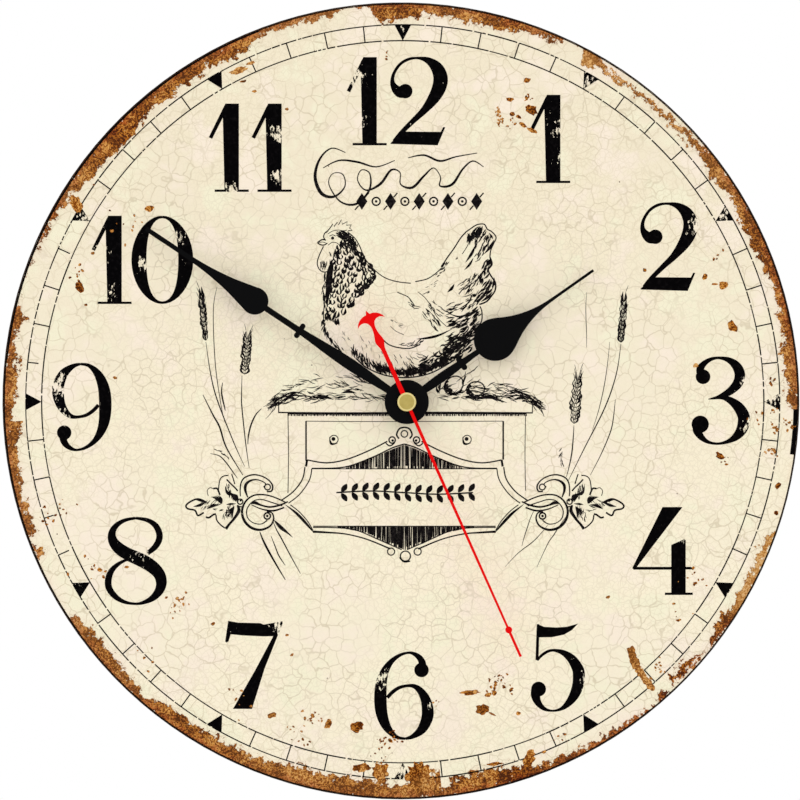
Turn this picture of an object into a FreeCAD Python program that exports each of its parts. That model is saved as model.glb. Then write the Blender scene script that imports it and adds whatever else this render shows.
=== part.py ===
import FreeCAD, Part
import math
import os

# A frameless round quartz wall clock: a printed board, three hands, and the quartz movement behind it.
# Millimetres. +X is to the right and +Z is up as seen from the front; the dial faces -Y.
# The origin is on the hands' axis, in the plane of the wall, so a depth of d lies at y = -d.

V = FreeCAD.Vector

# Board and printed face.
BOARD_RADIUS = 150.0
BOARD_THICKNESS = 5.0
BOARD_EDGE_BREAK = 0.3
BOARD_CENTRE = (-2.2, 0.4)  # the outline is cut a little off the hands' axis, which gives the uneven margin
ARBOR_HOLE_RADIUS = 4.3
PRINT_RADIUS = 149.5
PRINT_THICKNESS = 0.2

# The hands' directions at rest, in degrees clockwise from twelve.
HOUR_ANGLE = 54.8
MINUTE_ANGLE = 303.6
SECOND_ANGLE = 155.9

# Depths of the stack, measured from the wall.
CASE_FRONT = 16.0
HANGER_SHEET = 0.8
RUBBER_THICKNESS = 1.0
BOARD_BACK = CASE_FRONT + HANGER_SHEET + RUBBER_THICKNESS
BOARD_FRONT = BOARD_BACK + BOARD_THICKNESS
PRINT_FRONT = BOARD_FRONT + PRINT_THICKNESS
WASHER_FRONT = PRINT_FRONT + 0.5
NUT_FRONT = WASHER_FRONT + 2.0
BUSH_FRONT = 27.0
HOUR_TUBE_FRONT = 28.9
MINUTE_TUBE_FRONT = 31.3
HOUR_HAND_BACK = 27.8
MINUTE_HAND_BACK = 30.2
SECOND_HAND_BACK = 32.4
HAND_SHEET = 0.5
SECOND_SHEET = 0.4

# Movement case.
CASE_HALF = 28.0
CASE_WALL = 1.2
CASE_CORNER = 3.0
CASE_FACE = 1.0  # thickness of the front wall
COVER_THICKNESS = 1.2
BAY_TOP, BAY_BOTTOM = -12.1, -26.9  # the battery bay lies between these heights
BAY_WALL = 1.0
BAY_FLOOR = 15.4
LATCH_LOW, LATCH_HIGH = 11.0, 17.0  # heights between which each side's latch lies
LATCH_CATCH, LATCH_TIP = 4.2, 6.2  # depths of the nose's flat catch and of the latch's end
LATCH_THICKNESS = 0.8
CAVITY_FRONT = CASE_FRONT - CASE_FACE

# Concentric shafts. Each runs in the next with 0.06 of clearance.
SECONDS_ARBOR_RADIUS = 0.5
MINUTE_BORE_RADIUS = 0.56
MINUTE_TUBE_RADIUS = 1.6
HOUR_BORE_RADIUS = 1.66
HOUR_TUBE_RADIUS = 2.5
BUSH_BORE_RADIUS = 2.56
BUSH_RADIUS = 4.0
THREAD_PITCH = 0.75
THREAD_DEPTH = 0.35
PIVOT_CLEARANCE = 0.05
PIVOT_RADIUS = 0.4

# Tooth counts. Rotor to seconds 30:1, seconds to minutes 60:1, minutes to hours 12:1.
ROTOR_LEAVES, INTERMEDIATE_TEETH, INTERMEDIATE_LEAVES = 8, 60, 15
SECONDS_TEETH, SECONDS_LEAVES = 60, 8
THIRD_TEETH, THIRD_LEAVES = 60, 8
CENTRE_TEETH, CENTRE_LEAVES = 64, 12
MINUTE_TEETH, MINUTE_LEAVES = 36, 10
HOUR_TEETH, SETTING_LEAVES = 40, 12

# Modules. The third wheel and the minute wheel each mesh twice with the central axis,
# so one module of each pair follows from the other.
CENTRE_MODULE = 0.25
THIRD_DISTANCE = CENTRE_MODULE * (CENTRE_TEETH + THIRD_LEAVES) / 2
SECONDS_PINION_MODULE = 2 * THIRD_DISTANCE / (THIRD_TEETH + SECONDS_LEAVES)
MOTION_MODULE = 0.25
MINUTE_DISTANCE = MOTION_MODULE * (MINUTE_TEETH + CENTRE_LEAVES) / 2
HOUR_MODULE = 2 * MINUTE_DISTANCE / (HOUR_TEETH + MINUTE_LEAVES)
SETTING_DISTANCE = MOTION_MODULE * (MINUTE_TEETH + SETTING_LEAVES) / 2
SECONDS_MODULE = 0.22
INTERMEDIATE_DISTANCE = SECONDS_MODULE * (SECONDS_TEETH + INTERMEDIATE_LEAVES) / 2
ROTOR_MODULE = 0.21
ROTOR_DISTANCE = ROTOR_MODULE * (INTERMEDIATE_TEETH + ROTOR_LEAVES) / 2


def polar(distance, degrees, start=(0.0, 0.0)):
    """A point at a distance from start, with the angle measured from +X towards +Z."""
    a = math.radians(degrees)
    return start[0] + distance * math.cos(a), start[1] + distance * math.sin(a)


# Axes in the XZ plane.
CENTRE = (0.0, 0.0)
THIRD = polar(THIRD_DISTANCE, 150.0)
MINUTE = polar(MINUTE_DISTANCE, 0.0)
SETTING = polar(SETTING_DISTANCE, 0.0, MINUTE)
INTERMEDIATE = polar(INTERMEDIATE_DISTANCE, 80.0)
ROTOR = polar(ROTOR_DISTANCE, 80.0, INTERMEDIATE)

# Layers of the train, as (back, front) depths.
INTERMEDIATE_LAYER = (4.6, 5.5)
ROTOR_PINION_LAYER = (4.4, 5.7)
SECONDS_LAYER = (6.4, 7.3)
INTERMEDIATE_PINION_LAYER = (6.2, 7.5)
THIRD_LAYER = (8.2, 9.1)
SECONDS_PINION_LAYER = (7.9, 9.3)
TRAIN_PLATE_LAYER = (9.5, 10.3)
CENTRE_LAYER = (10.7, 11.6)
THIRD_PINION_LAYER = (10.5, 11.8)
CENTRE_PINION_LAYER = (12.0, 13.2)
MINUTE_LAYER = (12.2, 13.1)
SETTING_PINION_LAYER = (12.1, 13.2)
MINUTE_PINION_LAYER = (13.1, 14.6)
HOUR_LAYER = (13.5, 14.4)
MAGNET_LAYER = (7.5, 9.3)
STATOR_LAYER = (7.9, 9.1)
CORE_LAYER = (6.7, 7.9)

# Flanks from root to tip, as (modules beyond the pitch circle, half-thickness in pitches).
WHEEL_FLANK = [(-1.3, 0.235), (0.0, 0.2), (0.5, 0.135), (0.85, 0.05)]
LEAF_FLANK = [(-1.3, 0.14), (0.0, 0.155), (0.45, 0.11), (0.75, 0.045)]

# Posts of the case that carry the train plate.
TRAIN_POSTS = [(-15.5, -8.7), (8.5, -9.0), (-13.5, 14.0), (8.6, 13.0)]

# Stepping motor.
MAGNET_RADIUS = 2.4
STATOR_HOLE_RADIUS = 2.85
STATOR_BOSS_RADIUS = 3.9
COIL_HEIGHT = 22.8
COIL_DEPTH = 7.3
COIL_HALF_LENGTH = 9.8
COIL_RADIUS = 3.6
BOBBIN_RADIUS = 2.3
BOBBIN_FLANGE_RADIUS = 3.85
CORE_HALF_LENGTH = 16.4
CORE_HALF_WIDTH = 1.5
MOTOR_SCREWS = [(-14.5, COIL_HEIGHT), (14.5, COIL_HEIGHT)]
MOTOR_SCREW_RADIUS = 0.9

# Circuit board, on two pegs of the rear cover.
CIRCUIT_LAYER = (2.4, 3.4)
CIRCUIT_PEGS = [(-24.0, -8.4), (-12.7, 6.6)]
CRYSTAL_AT = (-21.5, 2.5)
CRYSTAL_RADIUS, CRYSTAL_LENGTH = 1.0, 6.0
CHIP_AT = (-16.5, -3.5)
CHIP_SPHERE, CHIP_HEIGHT = 4.6, 0.9

# AA cell in the bay below the train.
CELL_HEIGHT = -19.5
CELL_DEPTH = 7.6
CELL_RADIUS = 7.25
SLEEVE_THICKNESS = 0.15
CELL_BACK_END, CELL_SHOULDER, CELL_TIP = -24.2, 25.3, 26.3

# Hanger.
HOOK_BACK = 1.0
HOOK_HALF_WIDTH = 9.0
HOOK_SHELF = 30.0
NAIL_HOLE_HEIGHT = 38.0
NAIL_HOLE_RADIUS = 4.5
NAIL_SLOT_TOP = 44.4
NAIL_SLOT_RADIUS = 2.3


# ---- shapes ----


def rod(radius, back, front, at=CENTRE):
    """A cylinder along the clock's depth."""
    return Part.makeCylinder(radius, front - back, V(at[0], -back, at[1]), V(0, -1, 0))


def tube(outer, inner, back, front, at=CENTRE):
    return rod(outer, back, front, at).cut(rod(inner, back - 1, front + 1, at))


def slab(x0, x1, z0, z1, back, front):
    return Part.makeBox(x1 - x0, front - back, z1 - z0, V(x0, -front, z0))


def rounded_slab(x0, x1, z0, z1, back, front, radius):
    """A slab whose four edges along the depth are rounded."""
    box = slab(x0, x1, z0, z1, back, front)
    upright = [e for e in box.Edges if abs(e.tangentAt(e.FirstParameter).y) > 0.9]
    return box.makeFillet(radius, upright)


def prism(wire, back, front):
    """Extrudes a closed wire that lies at the back depth."""
    return Part.Face(wire).extrude(V(0, -(front - back), 0))


def fuse(*shapes):
    return shapes[0].fuse(list(shapes[1:])).removeSplitter()


def turned(shape, clock_angle):
    """Turns a shape that points at twelve, clockwise as seen from the front."""
    done = shape.copy()
    done.rotate(V(0, 0, 0), V(0, 1, 0), clock_angle)
    return done


# ---- gears ----


def bearing_of(a, b):
    return math.atan2(b[1] - a[1], b[0] - a[0])


def meshed(teeth, phase, other_teeth, direction):
    """The phase that puts the other wheel in mesh, seen from the first wheel along direction."""
    past_tooth = (direction - phase) * teeth / math.tau
    return direction + math.pi - (0.5 - past_tooth) * math.tau / other_teeth


def gear(teeth, module, flank, layer, at, phase):
    pitch_angle = math.tau / teeth
    wire_points = []
    for tooth in range(teeth):
        middle = phase + tooth * pitch_angle
        sides = [(r, -half) for r, half in flank] + [(r, half) for r, half in reversed(flank)]
        for beyond, half in sides:
            r = module * (teeth / 2 + beyond)
            a = middle + half * pitch_angle
            wire_points.append(V(at[0] + r * math.cos(a), -layer[0], at[1] + r * math.sin(a)))
    return prism(Part.makePolygon(wire_points + wire_points[:1]), *layer)


def wheel(teeth, module, layer, at, phase):
    return gear(teeth, module, WHEEL_FLANK, layer, at, phase)


def pinion(leaves, module, layer, at, phase):
    return gear(leaves, module, LEAF_FLANK, layer, at, phase)


def make_seconds_wheel():
    hub = rod(1.4, SECONDS_LAYER[0] - 0.3, SECONDS_PINION_LAYER[0])
    leaves = pinion(SECONDS_LEAVES, SECONDS_PINION_MODULE, SECONDS_PINION_LAYER, CENTRE, 0.0)
    teeth = wheel(SECONDS_TEETH, SECONDS_MODULE, SECONDS_LAYER, CENTRE, 0.0)
    return fuse(teeth, hub, leaves).cut(rod(SECONDS_ARBOR_RADIUS, 0, CASE_FRONT))


def make_third_wheel():
    phase = meshed(SECONDS_LEAVES, 0.0, THIRD_TEETH, bearing_of(CENTRE, THIRD))
    teeth = wheel(THIRD_TEETH, SECONDS_PINION_MODULE, THIRD_LAYER, THIRD, phase)
    leaves = pinion(THIRD_LEAVES, CENTRE_MODULE, THIRD_PINION_LAYER, THIRD, 0.0)
    arbor = rod(0.7, THIRD_LAYER[0] - 0.3, THIRD_PINION_LAYER[0], THIRD)
    back_pivot = rod(PIVOT_RADIUS, 6.6, THIRD_LAYER[0], THIRD)
    front_pivot = rod(PIVOT_RADIUS, THIRD_PINION_LAYER[1], 13.4, THIRD)
    return fuse(teeth, leaves, arbor, back_pivot, front_pivot)


def make_centre_wheel():
    phase = meshed(THIRD_LEAVES, 0.0, CENTRE_TEETH, bearing_of(THIRD, CENTRE))
    teeth = wheel(CENTRE_TEETH, CENTRE_MODULE, CENTRE_LAYER, CENTRE, phase)
    return teeth.cut(rod(1.8, 0, CASE_FRONT))


def make_minute_arbor():
    """The tube that carries the minute hand, with the pinion of the motion work and the wheel's seat."""
    seat = rod(1.8, CENTRE_LAYER[0], 11.8)
    rivet = rod(2.4, CENTRE_LAYER[0] - 0.2, CENTRE_LAYER[0])
    flange = rod(2.6, 11.8, CENTRE_PINION_LAYER[0])
    leaves = pinion(CENTRE_LEAVES, MOTION_MODULE, CENTRE_PINION_LAYER, CENTRE, 0.0)
    sleeve = rod(MINUTE_TUBE_RADIUS, CENTRE_PINION_LAYER[1], MINUTE_TUBE_FRONT)
    solid = fuse(seat, rivet, flange, leaves, sleeve)
    return solid.cut(rod(MINUTE_BORE_RADIUS, 0, MINUTE_TUBE_FRONT + 1))


def make_clutch_washer():
    return tube(3.3, 1.8, CENTRE_LAYER[1], 11.8)


def minute_wheel_phase():
    return meshed(CENTRE_LEAVES, 0.0, MINUTE_TEETH, bearing_of(CENTRE, MINUTE))


def make_minute_wheel():
    teeth = wheel(MINUTE_TEETH, MOTION_MODULE, MINUTE_LAYER, MINUTE, minute_wheel_phase())
    leaves = pinion(MINUTE_LEAVES, HOUR_MODULE, MINUTE_PINION_LAYER, MINUTE, 0.0)
    return fuse(teeth, leaves).cut(rod(0.5, 0, CASE_FRONT, MINUTE))


def make_hour_wheel():
    phase = meshed(MINUTE_LEAVES, 0.0, HOUR_TEETH, bearing_of(MINUTE, CENTRE))
    teeth = wheel(HOUR_TEETH, HOUR_MODULE, HOUR_LAYER, CENTRE, phase)
    sleeve = rod(HOUR_TUBE_RADIUS, HOUR_LAYER[0], HOUR_TUBE_FRONT)
    return fuse(teeth, sleeve).cut(rod(HOUR_BORE_RADIUS, 0, HOUR_TUBE_FRONT + 1))


def make_intermediate_wheel():
    phase = meshed(SECONDS_TEETH, 0.0, INTERMEDIATE_LEAVES, bearing_of(CENTRE, INTERMEDIATE))
    leaves = pinion(INTERMEDIATE_LEAVES, SECONDS_MODULE, INTERMEDIATE_PINION_LAYER, INTERMEDIATE, phase)
    teeth = wheel(INTERMEDIATE_TEETH, ROTOR_MODULE, INTERMEDIATE_LAYER, INTERMEDIATE, 0.0)
    arbor = rod(0.7, INTERMEDIATE_LAYER[0] - 0.2, 9.2, INTERMEDIATE)
    pivot = rod(PIVOT_RADIUS, 3.2, 10.0, INTERMEDIATE)
    return fuse(teeth, leaves, arbor, pivot)


def make_rotor_pinion():
    phase = meshed(INTERMEDIATE_TEETH, 0.0, ROTOR_LEAVES, bearing_of(INTERMEDIATE, ROTOR))
    leaves = pinion(ROTOR_LEAVES, ROTOR_MODULE, ROTOR_PINION_LAYER, ROTOR, phase)
    sleeve = rod(0.9, ROTOR_PINION_LAYER[1], MAGNET_LAYER[1], ROTOR)
    pivot = rod(PIVOT_RADIUS, 3.0, 10.0, ROTOR)
    return fuse(leaves, sleeve, pivot)


def make_rotor_magnet():
    return tube(MAGNET_RADIUS, 0.9, *MAGNET_LAYER, ROTOR)


def make_setting_pinion():
    phase = meshed(MINUTE_TEETH, minute_wheel_phase(), SETTING_LEAVES, bearing_of(MINUTE, SETTING))
    leaves = pinion(SETTING_LEAVES, MOTION_MODULE, SETTING_PINION_LAYER, SETTING, phase)
    stem = rod(1.1, 1.0, SETTING_PINION_LAYER[0], SETTING)
    pivot = rod(0.6, SETTING_PINION_LAYER[1], 14.6, SETTING)
    return fuse(leaves, stem, pivot)


def make_setting_knob():
    """The grooved knob that is pressed on the setting pinion's stem."""
    knob = rod(5.2, 0.3, 2.3, SETTING)
    grooves = 24
    for n in range(grooves):
        knob = knob.cut(rod(0.35, 0, 3, polar(5.25, 360.0 * n / grooves, SETTING)))
    return knob.cut(rod(1.1, 1.0, 3, SETTING))


# ---- case and plates ----


def latch(side):
    """A springy tongue of the cover, with a nose that snaps into the case's side wall."""
    reach = CASE_HALF - CASE_WALL - 0.1
    low, high = sorted((side * (reach - LATCH_THICKNESS), side * reach))
    tongue = slab(low, high, LATCH_LOW, LATCH_HIGH, COVER_THICKNESS, LATCH_TIP)
    nose = [(0.0, LATCH_CATCH), (0.8, LATCH_CATCH), (0.8, LATCH_CATCH + 0.3), (0.0, LATCH_TIP)]
    outline = [V(side * (reach + out), -d, LATCH_LOW) for out, d in nose + nose[:1]]
    return fuse(tongue, Part.Face(Part.makePolygon(outline)).extrude(V(0, 0, LATCH_HIGH - LATCH_LOW)))


def setting_arrow():
    """A shallow two-headed arrow around the knob, sunk in the cover."""
    radius, half_width, sink, sweep = 8.6, 0.3, 0.3, 65.0
    groove = tube(radius + half_width, radius - half_width, -1, sink, SETTING)
    wedge = [SETTING] + [polar(2 * radius, a, SETTING) for a in (-sweep, 0.0, sweep)]
    outline = [V(x, 1, z) for x, z in wedge + wedge[:1]]
    marks = [groove.common(prism(Part.makePolygon(outline), -1, sink))]
    for side in (1, -1):
        tip = polar(radius, side * (sweep + 14), SETTING)
        heads = [polar(radius + out, side * sweep, SETTING) for out in (-1.1, 1.1)]
        outline = [V(x, 1, z) for x, z in (tip, *heads, tip)]
        marks.append(prism(Part.makePolygon(outline), -1, sink))
    return fuse(*marks)


def make_front_case():
    top, side = CASE_HALF, CASE_HALF - CASE_WALL
    shell = rounded_slab(-top, top, -top, top, 0, CASE_FRONT, CASE_CORNER)
    floor = BAY_TOP + BAY_WALL
    shell = shell.cut(slab(-side, side, floor, side, -1, CAVITY_FRONT))
    shell = shell.cut(slab(-side, side, BAY_BOTTOM, BAY_TOP, -1, BAY_FLOOR))
    shell = shell.cut(slab(-top - 1, top + 1, floor - 0.5, top + 1, -1, COVER_THICKNESS))
    posts = [rod(1.5, TRAIN_PLATE_LAYER[1], CAVITY_FRONT, at) for at in TRAIN_POSTS]
    posts += [rod(2.0, STATOR_LAYER[1], CAVITY_FRONT, at) for at in MOTOR_SCREWS]
    bosses = [rod(1.3, 12.1, CAVITY_FRONT, THIRD), rod(1.6, 13.5, CAVITY_FRONT, SETTING)]
    minute_pin = rod(0.45, 12.0, CAVITY_FRONT, MINUTE)
    shell = fuse(shell, *posts, *bosses, minute_pin)
    shell = shell.cut(rod(BUSH_RADIUS, CAVITY_FRONT - 1, CASE_FRONT + 1))
    shell = shell.cut(rod(PIVOT_RADIUS + PIVOT_CLEARANCE, 12, 13.8, THIRD))
    shell = shell.cut(rod(0.6 + PIVOT_CLEARANCE, 13, 14.8, SETTING))
    for at in MOTOR_SCREWS:
        shell = shell.cut(rod(MOTOR_SCREW_RADIUS, STATOR_LAYER[0], 12.5, at))
    window = slab(-top - 1, top + 1, LATCH_LOW - 0.2, LATCH_HIGH + 0.2, LATCH_CATCH - 0.1, LATCH_TIP + 0.2)
    return shell.cut(window.cut(slab(-side, side, -top, top, 0, CASE_FRONT)))


def make_rear_cover():
    """The snap-on back, with the bearings of the train and a well for the setting knob."""
    side, top, floor = CASE_HALF - CASE_WALL - 0.1, CASE_HALF, BAY_TOP + BAY_WALL - 0.5
    cover = slab(-top, top, floor, top, 0, COVER_THICKNESS)
    corners = [e for e in cover.Edges if abs(e.tangentAt(e.FirstParameter).y) > 0.9 and e.CenterOfMass.z > 0]
    cover = cover.makeFillet(CASE_CORNER, corners)
    low = BAY_TOP + BAY_WALL + 0.1
    lip = slab(-side, side, low, side, COVER_THICKNESS, 2.2)
    lip = lip.cut(slab(-side + 0.8, side - 0.8, low + 0.8, side - 0.8, 0, 3))
    bosses = [
        rod(1.5, COVER_THICKNESS, 5.9, CENTRE),
        rod(1.4, COVER_THICKNESS, 7.7, THIRD),
        rod(1.4, COVER_THICKNESS, 4.2, INTERMEDIATE),
        rod(1.4, COVER_THICKNESS, 4.1, ROTOR),
    ]
    standoffs = [rod(1.5, COVER_THICKNESS, CIRCUIT_LAYER[0], at) for at in CIRCUIT_PEGS]
    pegs = [rod(0.8, CIRCUIT_LAYER[0], CIRCUIT_LAYER[1] + 0.5, at) for at in CIRCUIT_PEGS]
    well = rod(6.8, COVER_THICKNESS, 3.6, SETTING)
    cover = fuse(cover, lip, well, *bosses, *standoffs, *pegs, latch(-1), latch(1)).cut(setting_arrow())
    cover = cover.cut(rod(6.0, -1, 2.8, SETTING)).cut(rod(1.1 + PIVOT_CLEARANCE, 0, 4, SETTING))
    cover = cover.cut(rod(SECONDS_ARBOR_RADIUS + PIVOT_CLEARANCE, 4.4, 6, CENTRE))
    cover = cover.cut(rod(PIVOT_RADIUS + PIVOT_CLEARANCE, 6.2, 8, THIRD))
    cover = cover.cut(rod(PIVOT_RADIUS + PIVOT_CLEARANCE, 3.0, 5, INTERMEDIATE))
    return cover.cut(rod(PIVOT_RADIUS + PIVOT_CLEARANCE, 2.8, 5, ROTOR))


def make_train_plate():
    """The bridge that carries the front pivots of the rotor and the intermediate wheel."""
    plate = rounded_slab(-17.5, 10.4, -10.8, 16.6, *TRAIN_PLATE_LAYER, 1.0)
    plate = plate.cut(rod(0.75, 0, CASE_FRONT, CENTRE)).cut(rod(1.5, 0, CASE_FRONT, THIRD))
    for at in (INTERMEDIATE, ROTOR):
        plate = plate.cut(rod(PIVOT_RADIUS + PIVOT_CLEARANCE, 0, CASE_FRONT, at))
    return plate


def make_threaded_bush():
    """The brass bush through the board. Its thread is a row of ridges, one for each pitch."""
    ridges = int((BUSH_FRONT - CASE_FRONT - 0.3) / THREAD_PITCH)
    edge = [(BUSH_BORE_RADIUS, CAVITY_FRONT), (BUSH_RADIUS, CAVITY_FRONT), (BUSH_RADIUS, CASE_FRONT + 0.2)]
    for n in range(ridges):
        start = CASE_FRONT + 0.2 + n * THREAD_PITCH
        edge.append((BUSH_RADIUS - THREAD_DEPTH, start + THREAD_PITCH / 2))
        edge.append((BUSH_RADIUS, start + THREAD_PITCH))
    edge += [(BUSH_RADIUS - THREAD_DEPTH, BUSH_FRONT), (BUSH_BORE_RADIUS, BUSH_FRONT)]
    wire = Part.makePolygon([V(r, -d, 0) for r, d in edge + edge[:1]])
    return Part.Face(wire).revolve(V(0, 0, 0), V(0, 1, 0), 360)


# ---- motor and circuit ----

def along_x(radius, x0, x1, height, depth):
    return Part.makeCylinder(radius, x1 - x0, V(x0, -depth, height), V(1, 0, 0))


def make_stator():
    bar = slab(-16.3, 16.3, 13.3, 17.2, *STATOR_LAYER)
    legs = [slab(x - 1.9, x + 1.9, 13.3, 24.7, *STATOR_LAYER) for x in (-14.4, 14.4)]
    boss = rod(STATOR_BOSS_RADIUS, *STATOR_LAYER, ROTOR)
    holes = [rod(STATOR_HOLE_RADIUS, 0, CASE_FRONT, ROTOR)]
    holes += [rod(0.35, 0, CASE_FRONT, polar(STATOR_HOLE_RADIUS, a, ROTOR)) for a in (45.0, 225.0)]
    holes += [rod(MOTOR_SCREW_RADIUS, 0, CASE_FRONT, at) for at in MOTOR_SCREWS]
    plate = fuse(bar, *legs, boss)
    for hole in holes:
        plate = plate.cut(hole)
    return plate


def make_coil_core():
    low, high = COIL_HEIGHT - CORE_HALF_WIDTH, COIL_HEIGHT + CORE_HALF_WIDTH
    core = slab(-CORE_HALF_LENGTH, CORE_HALF_LENGTH, low, high, *CORE_LAYER)
    for at in MOTOR_SCREWS:
        core = core.cut(rod(MOTOR_SCREW_RADIUS, 0, CASE_FRONT, at))
    return core


def make_coil_bobbin():
    barrel = along_x(BOBBIN_RADIUS, -COIL_HALF_LENGTH, COIL_HALF_LENGTH, COIL_HEIGHT, COIL_DEPTH)
    ends = [
        along_x(BOBBIN_FLANGE_RADIUS, x, x + 1.0, COIL_HEIGHT, COIL_DEPTH)
        for x in (-COIL_HALF_LENGTH - 1.0, COIL_HALF_LENGTH)
    ]
    reach, half = COIL_HALF_LENGTH + 2, CORE_HALF_WIDTH
    slot = slab(-reach, reach, COIL_HEIGHT - half, COIL_HEIGHT + half, *CORE_LAYER)
    return fuse(barrel, *ends).cut(slot)


def make_coil_winding():
    winding = along_x(COIL_RADIUS, -COIL_HALF_LENGTH, COIL_HALF_LENGTH, COIL_HEIGHT, COIL_DEPTH)
    reach = COIL_HALF_LENGTH + 1
    return winding.cut(along_x(BOBBIN_RADIUS, -reach, reach, COIL_HEIGHT, COIL_DEPTH))


def make_motor_screws():
    """Two screws that clamp the core and the stator to the case."""
    back = CORE_LAYER[0]
    screws = []
    for x, z in MOTOR_SCREWS:
        head = rod(1.6, back - 0.8, back, (x, z))
        slot = slab(x - 2, x + 2, z - 0.2, z + 0.2, back - 1, back - 0.4)
        screws.append(fuse(head, rod(MOTOR_SCREW_RADIUS, back, 12.4, (x, z))).cut(slot))
    return Part.makeCompound(screws)


def make_circuit_board():
    board = slab(-26.0, -10.9, -10.3, 8.6, *CIRCUIT_LAYER)
    for at in CIRCUIT_PEGS:
        board = board.cut(rod(0.8, 0, 5, at))
    return board


def make_quartz_crystal():
    depth = CIRCUIT_LAYER[1] + CRYSTAL_RADIUS
    foot = V(CRYSTAL_AT[0], -depth, CRYSTAL_AT[1] - CRYSTAL_LENGTH / 2)
    return Part.makeCylinder(CRYSTAL_RADIUS, CRYSTAL_LENGTH, foot, V(0, 0, 1))


def make_chip_cover():
    """The blob of epoxy over the chip, a cap of a sphere."""
    middle = CIRCUIT_LAYER[1] + CHIP_HEIGHT - CHIP_SPHERE
    ball = Part.makeSphere(CHIP_SPHERE, V(CHIP_AT[0], -middle, CHIP_AT[1]))
    return ball.common(rod(CHIP_SPHERE, CIRCUIT_LAYER[1], CASE_FRONT, CHIP_AT))


# ---- battery and contacts ----


def make_battery_cell():
    radius = CELL_RADIUS - SLEEVE_THICKNESS
    can = along_x(radius, CELL_BACK_END, CELL_SHOULDER, CELL_HEIGHT, CELL_DEPTH)
    tip = along_x(2.75, CELL_SHOULDER, CELL_TIP, CELL_HEIGHT, CELL_DEPTH)
    return fuse(can, tip)


def make_battery_sleeve():
    outside = along_x(CELL_RADIUS, CELL_BACK_END, CELL_SHOULDER, CELL_HEIGHT, CELL_DEPTH)
    inside = along_x(CELL_RADIUS - SLEEVE_THICKNESS, CELL_BACK_END, CELL_SHOULDER, CELL_HEIGHT, CELL_DEPTH)
    return outside.cut(inside)


def make_positive_contact():
    return slab(CELL_TIP, CELL_TIP + 0.4, CELL_HEIGHT - 5, CELL_HEIGHT + 5, 2.0, 13.5)


def make_negative_contact():
    """A plate with a coil spring of two turns that presses on the cell."""
    wall = -(CASE_HALF - CASE_WALL)
    plate = slab(wall + 0.1, wall + 0.5, CELL_HEIGHT - 5, CELL_HEIGHT + 5, 2.0, 13.5)
    wire_radius, coil_radius, turns = 0.35, 3.2, 2
    start = wall + 0.5 + wire_radius * 0.8
    rise = CELL_BACK_END - wire_radius - 0.05 - start
    helix = Part.makeHelix(rise / turns, rise, coil_radius)
    section = Part.Wire(Part.makeCircle(wire_radius, V(coil_radius, 0, 0), V(0, 1, 0)))
    spring = Part.Wire(helix.Edges).makePipeShell([section], True, True)
    spring.rotate(V(0, 0, 0), V(0, 1, 0), 90)
    spring.translate(V(start, -CELL_DEPTH, CELL_HEIGHT))
    return fuse(plate, spring)


# ---- hanger and fastening ----


def make_hanger_plate():
    """Sheet steel clamped in front of the movement, bent over its top, with a keyhole near the wall."""
    sheet, half = HANGER_SHEET, HOOK_HALF_WIDTH
    foot = rounded_slab(-14, 14, -13, 24, CASE_FRONT, CASE_FRONT + sheet, 3.0)
    neck = slab(-half, half, 20, HOOK_SHELF + sheet, CASE_FRONT, CASE_FRONT + sheet)
    shelf = slab(-half, half, HOOK_SHELF, HOOK_SHELF + sheet, HOOK_BACK, CASE_FRONT + sheet)
    tongue = slab(-half, half, HOOK_SHELF, NAIL_HOLE_HEIGHT + 2, HOOK_BACK, HOOK_BACK + sheet)
    crown = rod(half, HOOK_BACK, HOOK_BACK + sheet, (0.0, NAIL_HOLE_HEIGHT + 2))
    plate = fuse(foot, neck, shelf, tongue, crown)
    nail_hole = rod(NAIL_HOLE_RADIUS, 0, 5, (0.0, NAIL_HOLE_HEIGHT))
    slot_end = rod(NAIL_SLOT_RADIUS, 0, 5, (0.0, NAIL_SLOT_TOP))
    slot = slab(-NAIL_SLOT_RADIUS, NAIL_SLOT_RADIUS, NAIL_HOLE_HEIGHT, NAIL_SLOT_TOP, 0, 5)
    plate = plate.cut(rod(BUSH_RADIUS + 0.1, 0, BOARD_BACK))
    for hole in (nail_hole, slot, slot_end):
        plate = plate.cut(hole)
    bends = [e for e in plate.Edges if is_bend(e, half)]
    return plate.makeFillet(0.5, bends)


def is_bend(edge, half):
    """True for the two sharp outer edges where the hanger's sheet is folded."""
    middle = edge.CenterOfMass
    across = abs(edge.tangentAt(edge.FirstParameter).x) > 0.99 and edge.Length > half
    folds = [(CASE_FRONT + HANGER_SHEET, HOOK_SHELF + HANGER_SHEET), (HOOK_BACK, HOOK_SHELF)]
    return across and any(abs(-middle.y - d) < 0.01 and abs(middle.z - z) < 0.01 for d, z in folds)


def make_fixing_nut():
    flats, height = 11.0, NUT_FRONT - WASHER_FRONT
    corner = flats / math.sqrt(3)
    points = [V(corner * math.cos(a), -WASHER_FRONT, corner * math.sin(a)) for a in
              (math.radians(60 * n) for n in range(7))]
    nut = prism(Part.makePolygon(points), WASHER_FRONT, WASHER_FRONT + height)
    cone = Part.makeCone(corner + 1.6, corner - 0.35, height, V(0, -WASHER_FRONT, 0), V(0, -1, 0))
    return nut.common(cone).cut(rod(BUSH_RADIUS, 0, NUT_FRONT + 1))


def make_board():
    board = rod(BOARD_RADIUS, BOARD_BACK, BOARD_FRONT, BOARD_CENTRE)
    rims = [e for e in board.Edges if e.Length > BOARD_RADIUS and len(e.Vertexes) == 1]
    board = board.makeChamfer(BOARD_EDGE_BREAK, rims)
    return board.cut(rod(ARBOR_HOLE_RADIUS, 0, 40))


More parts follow.
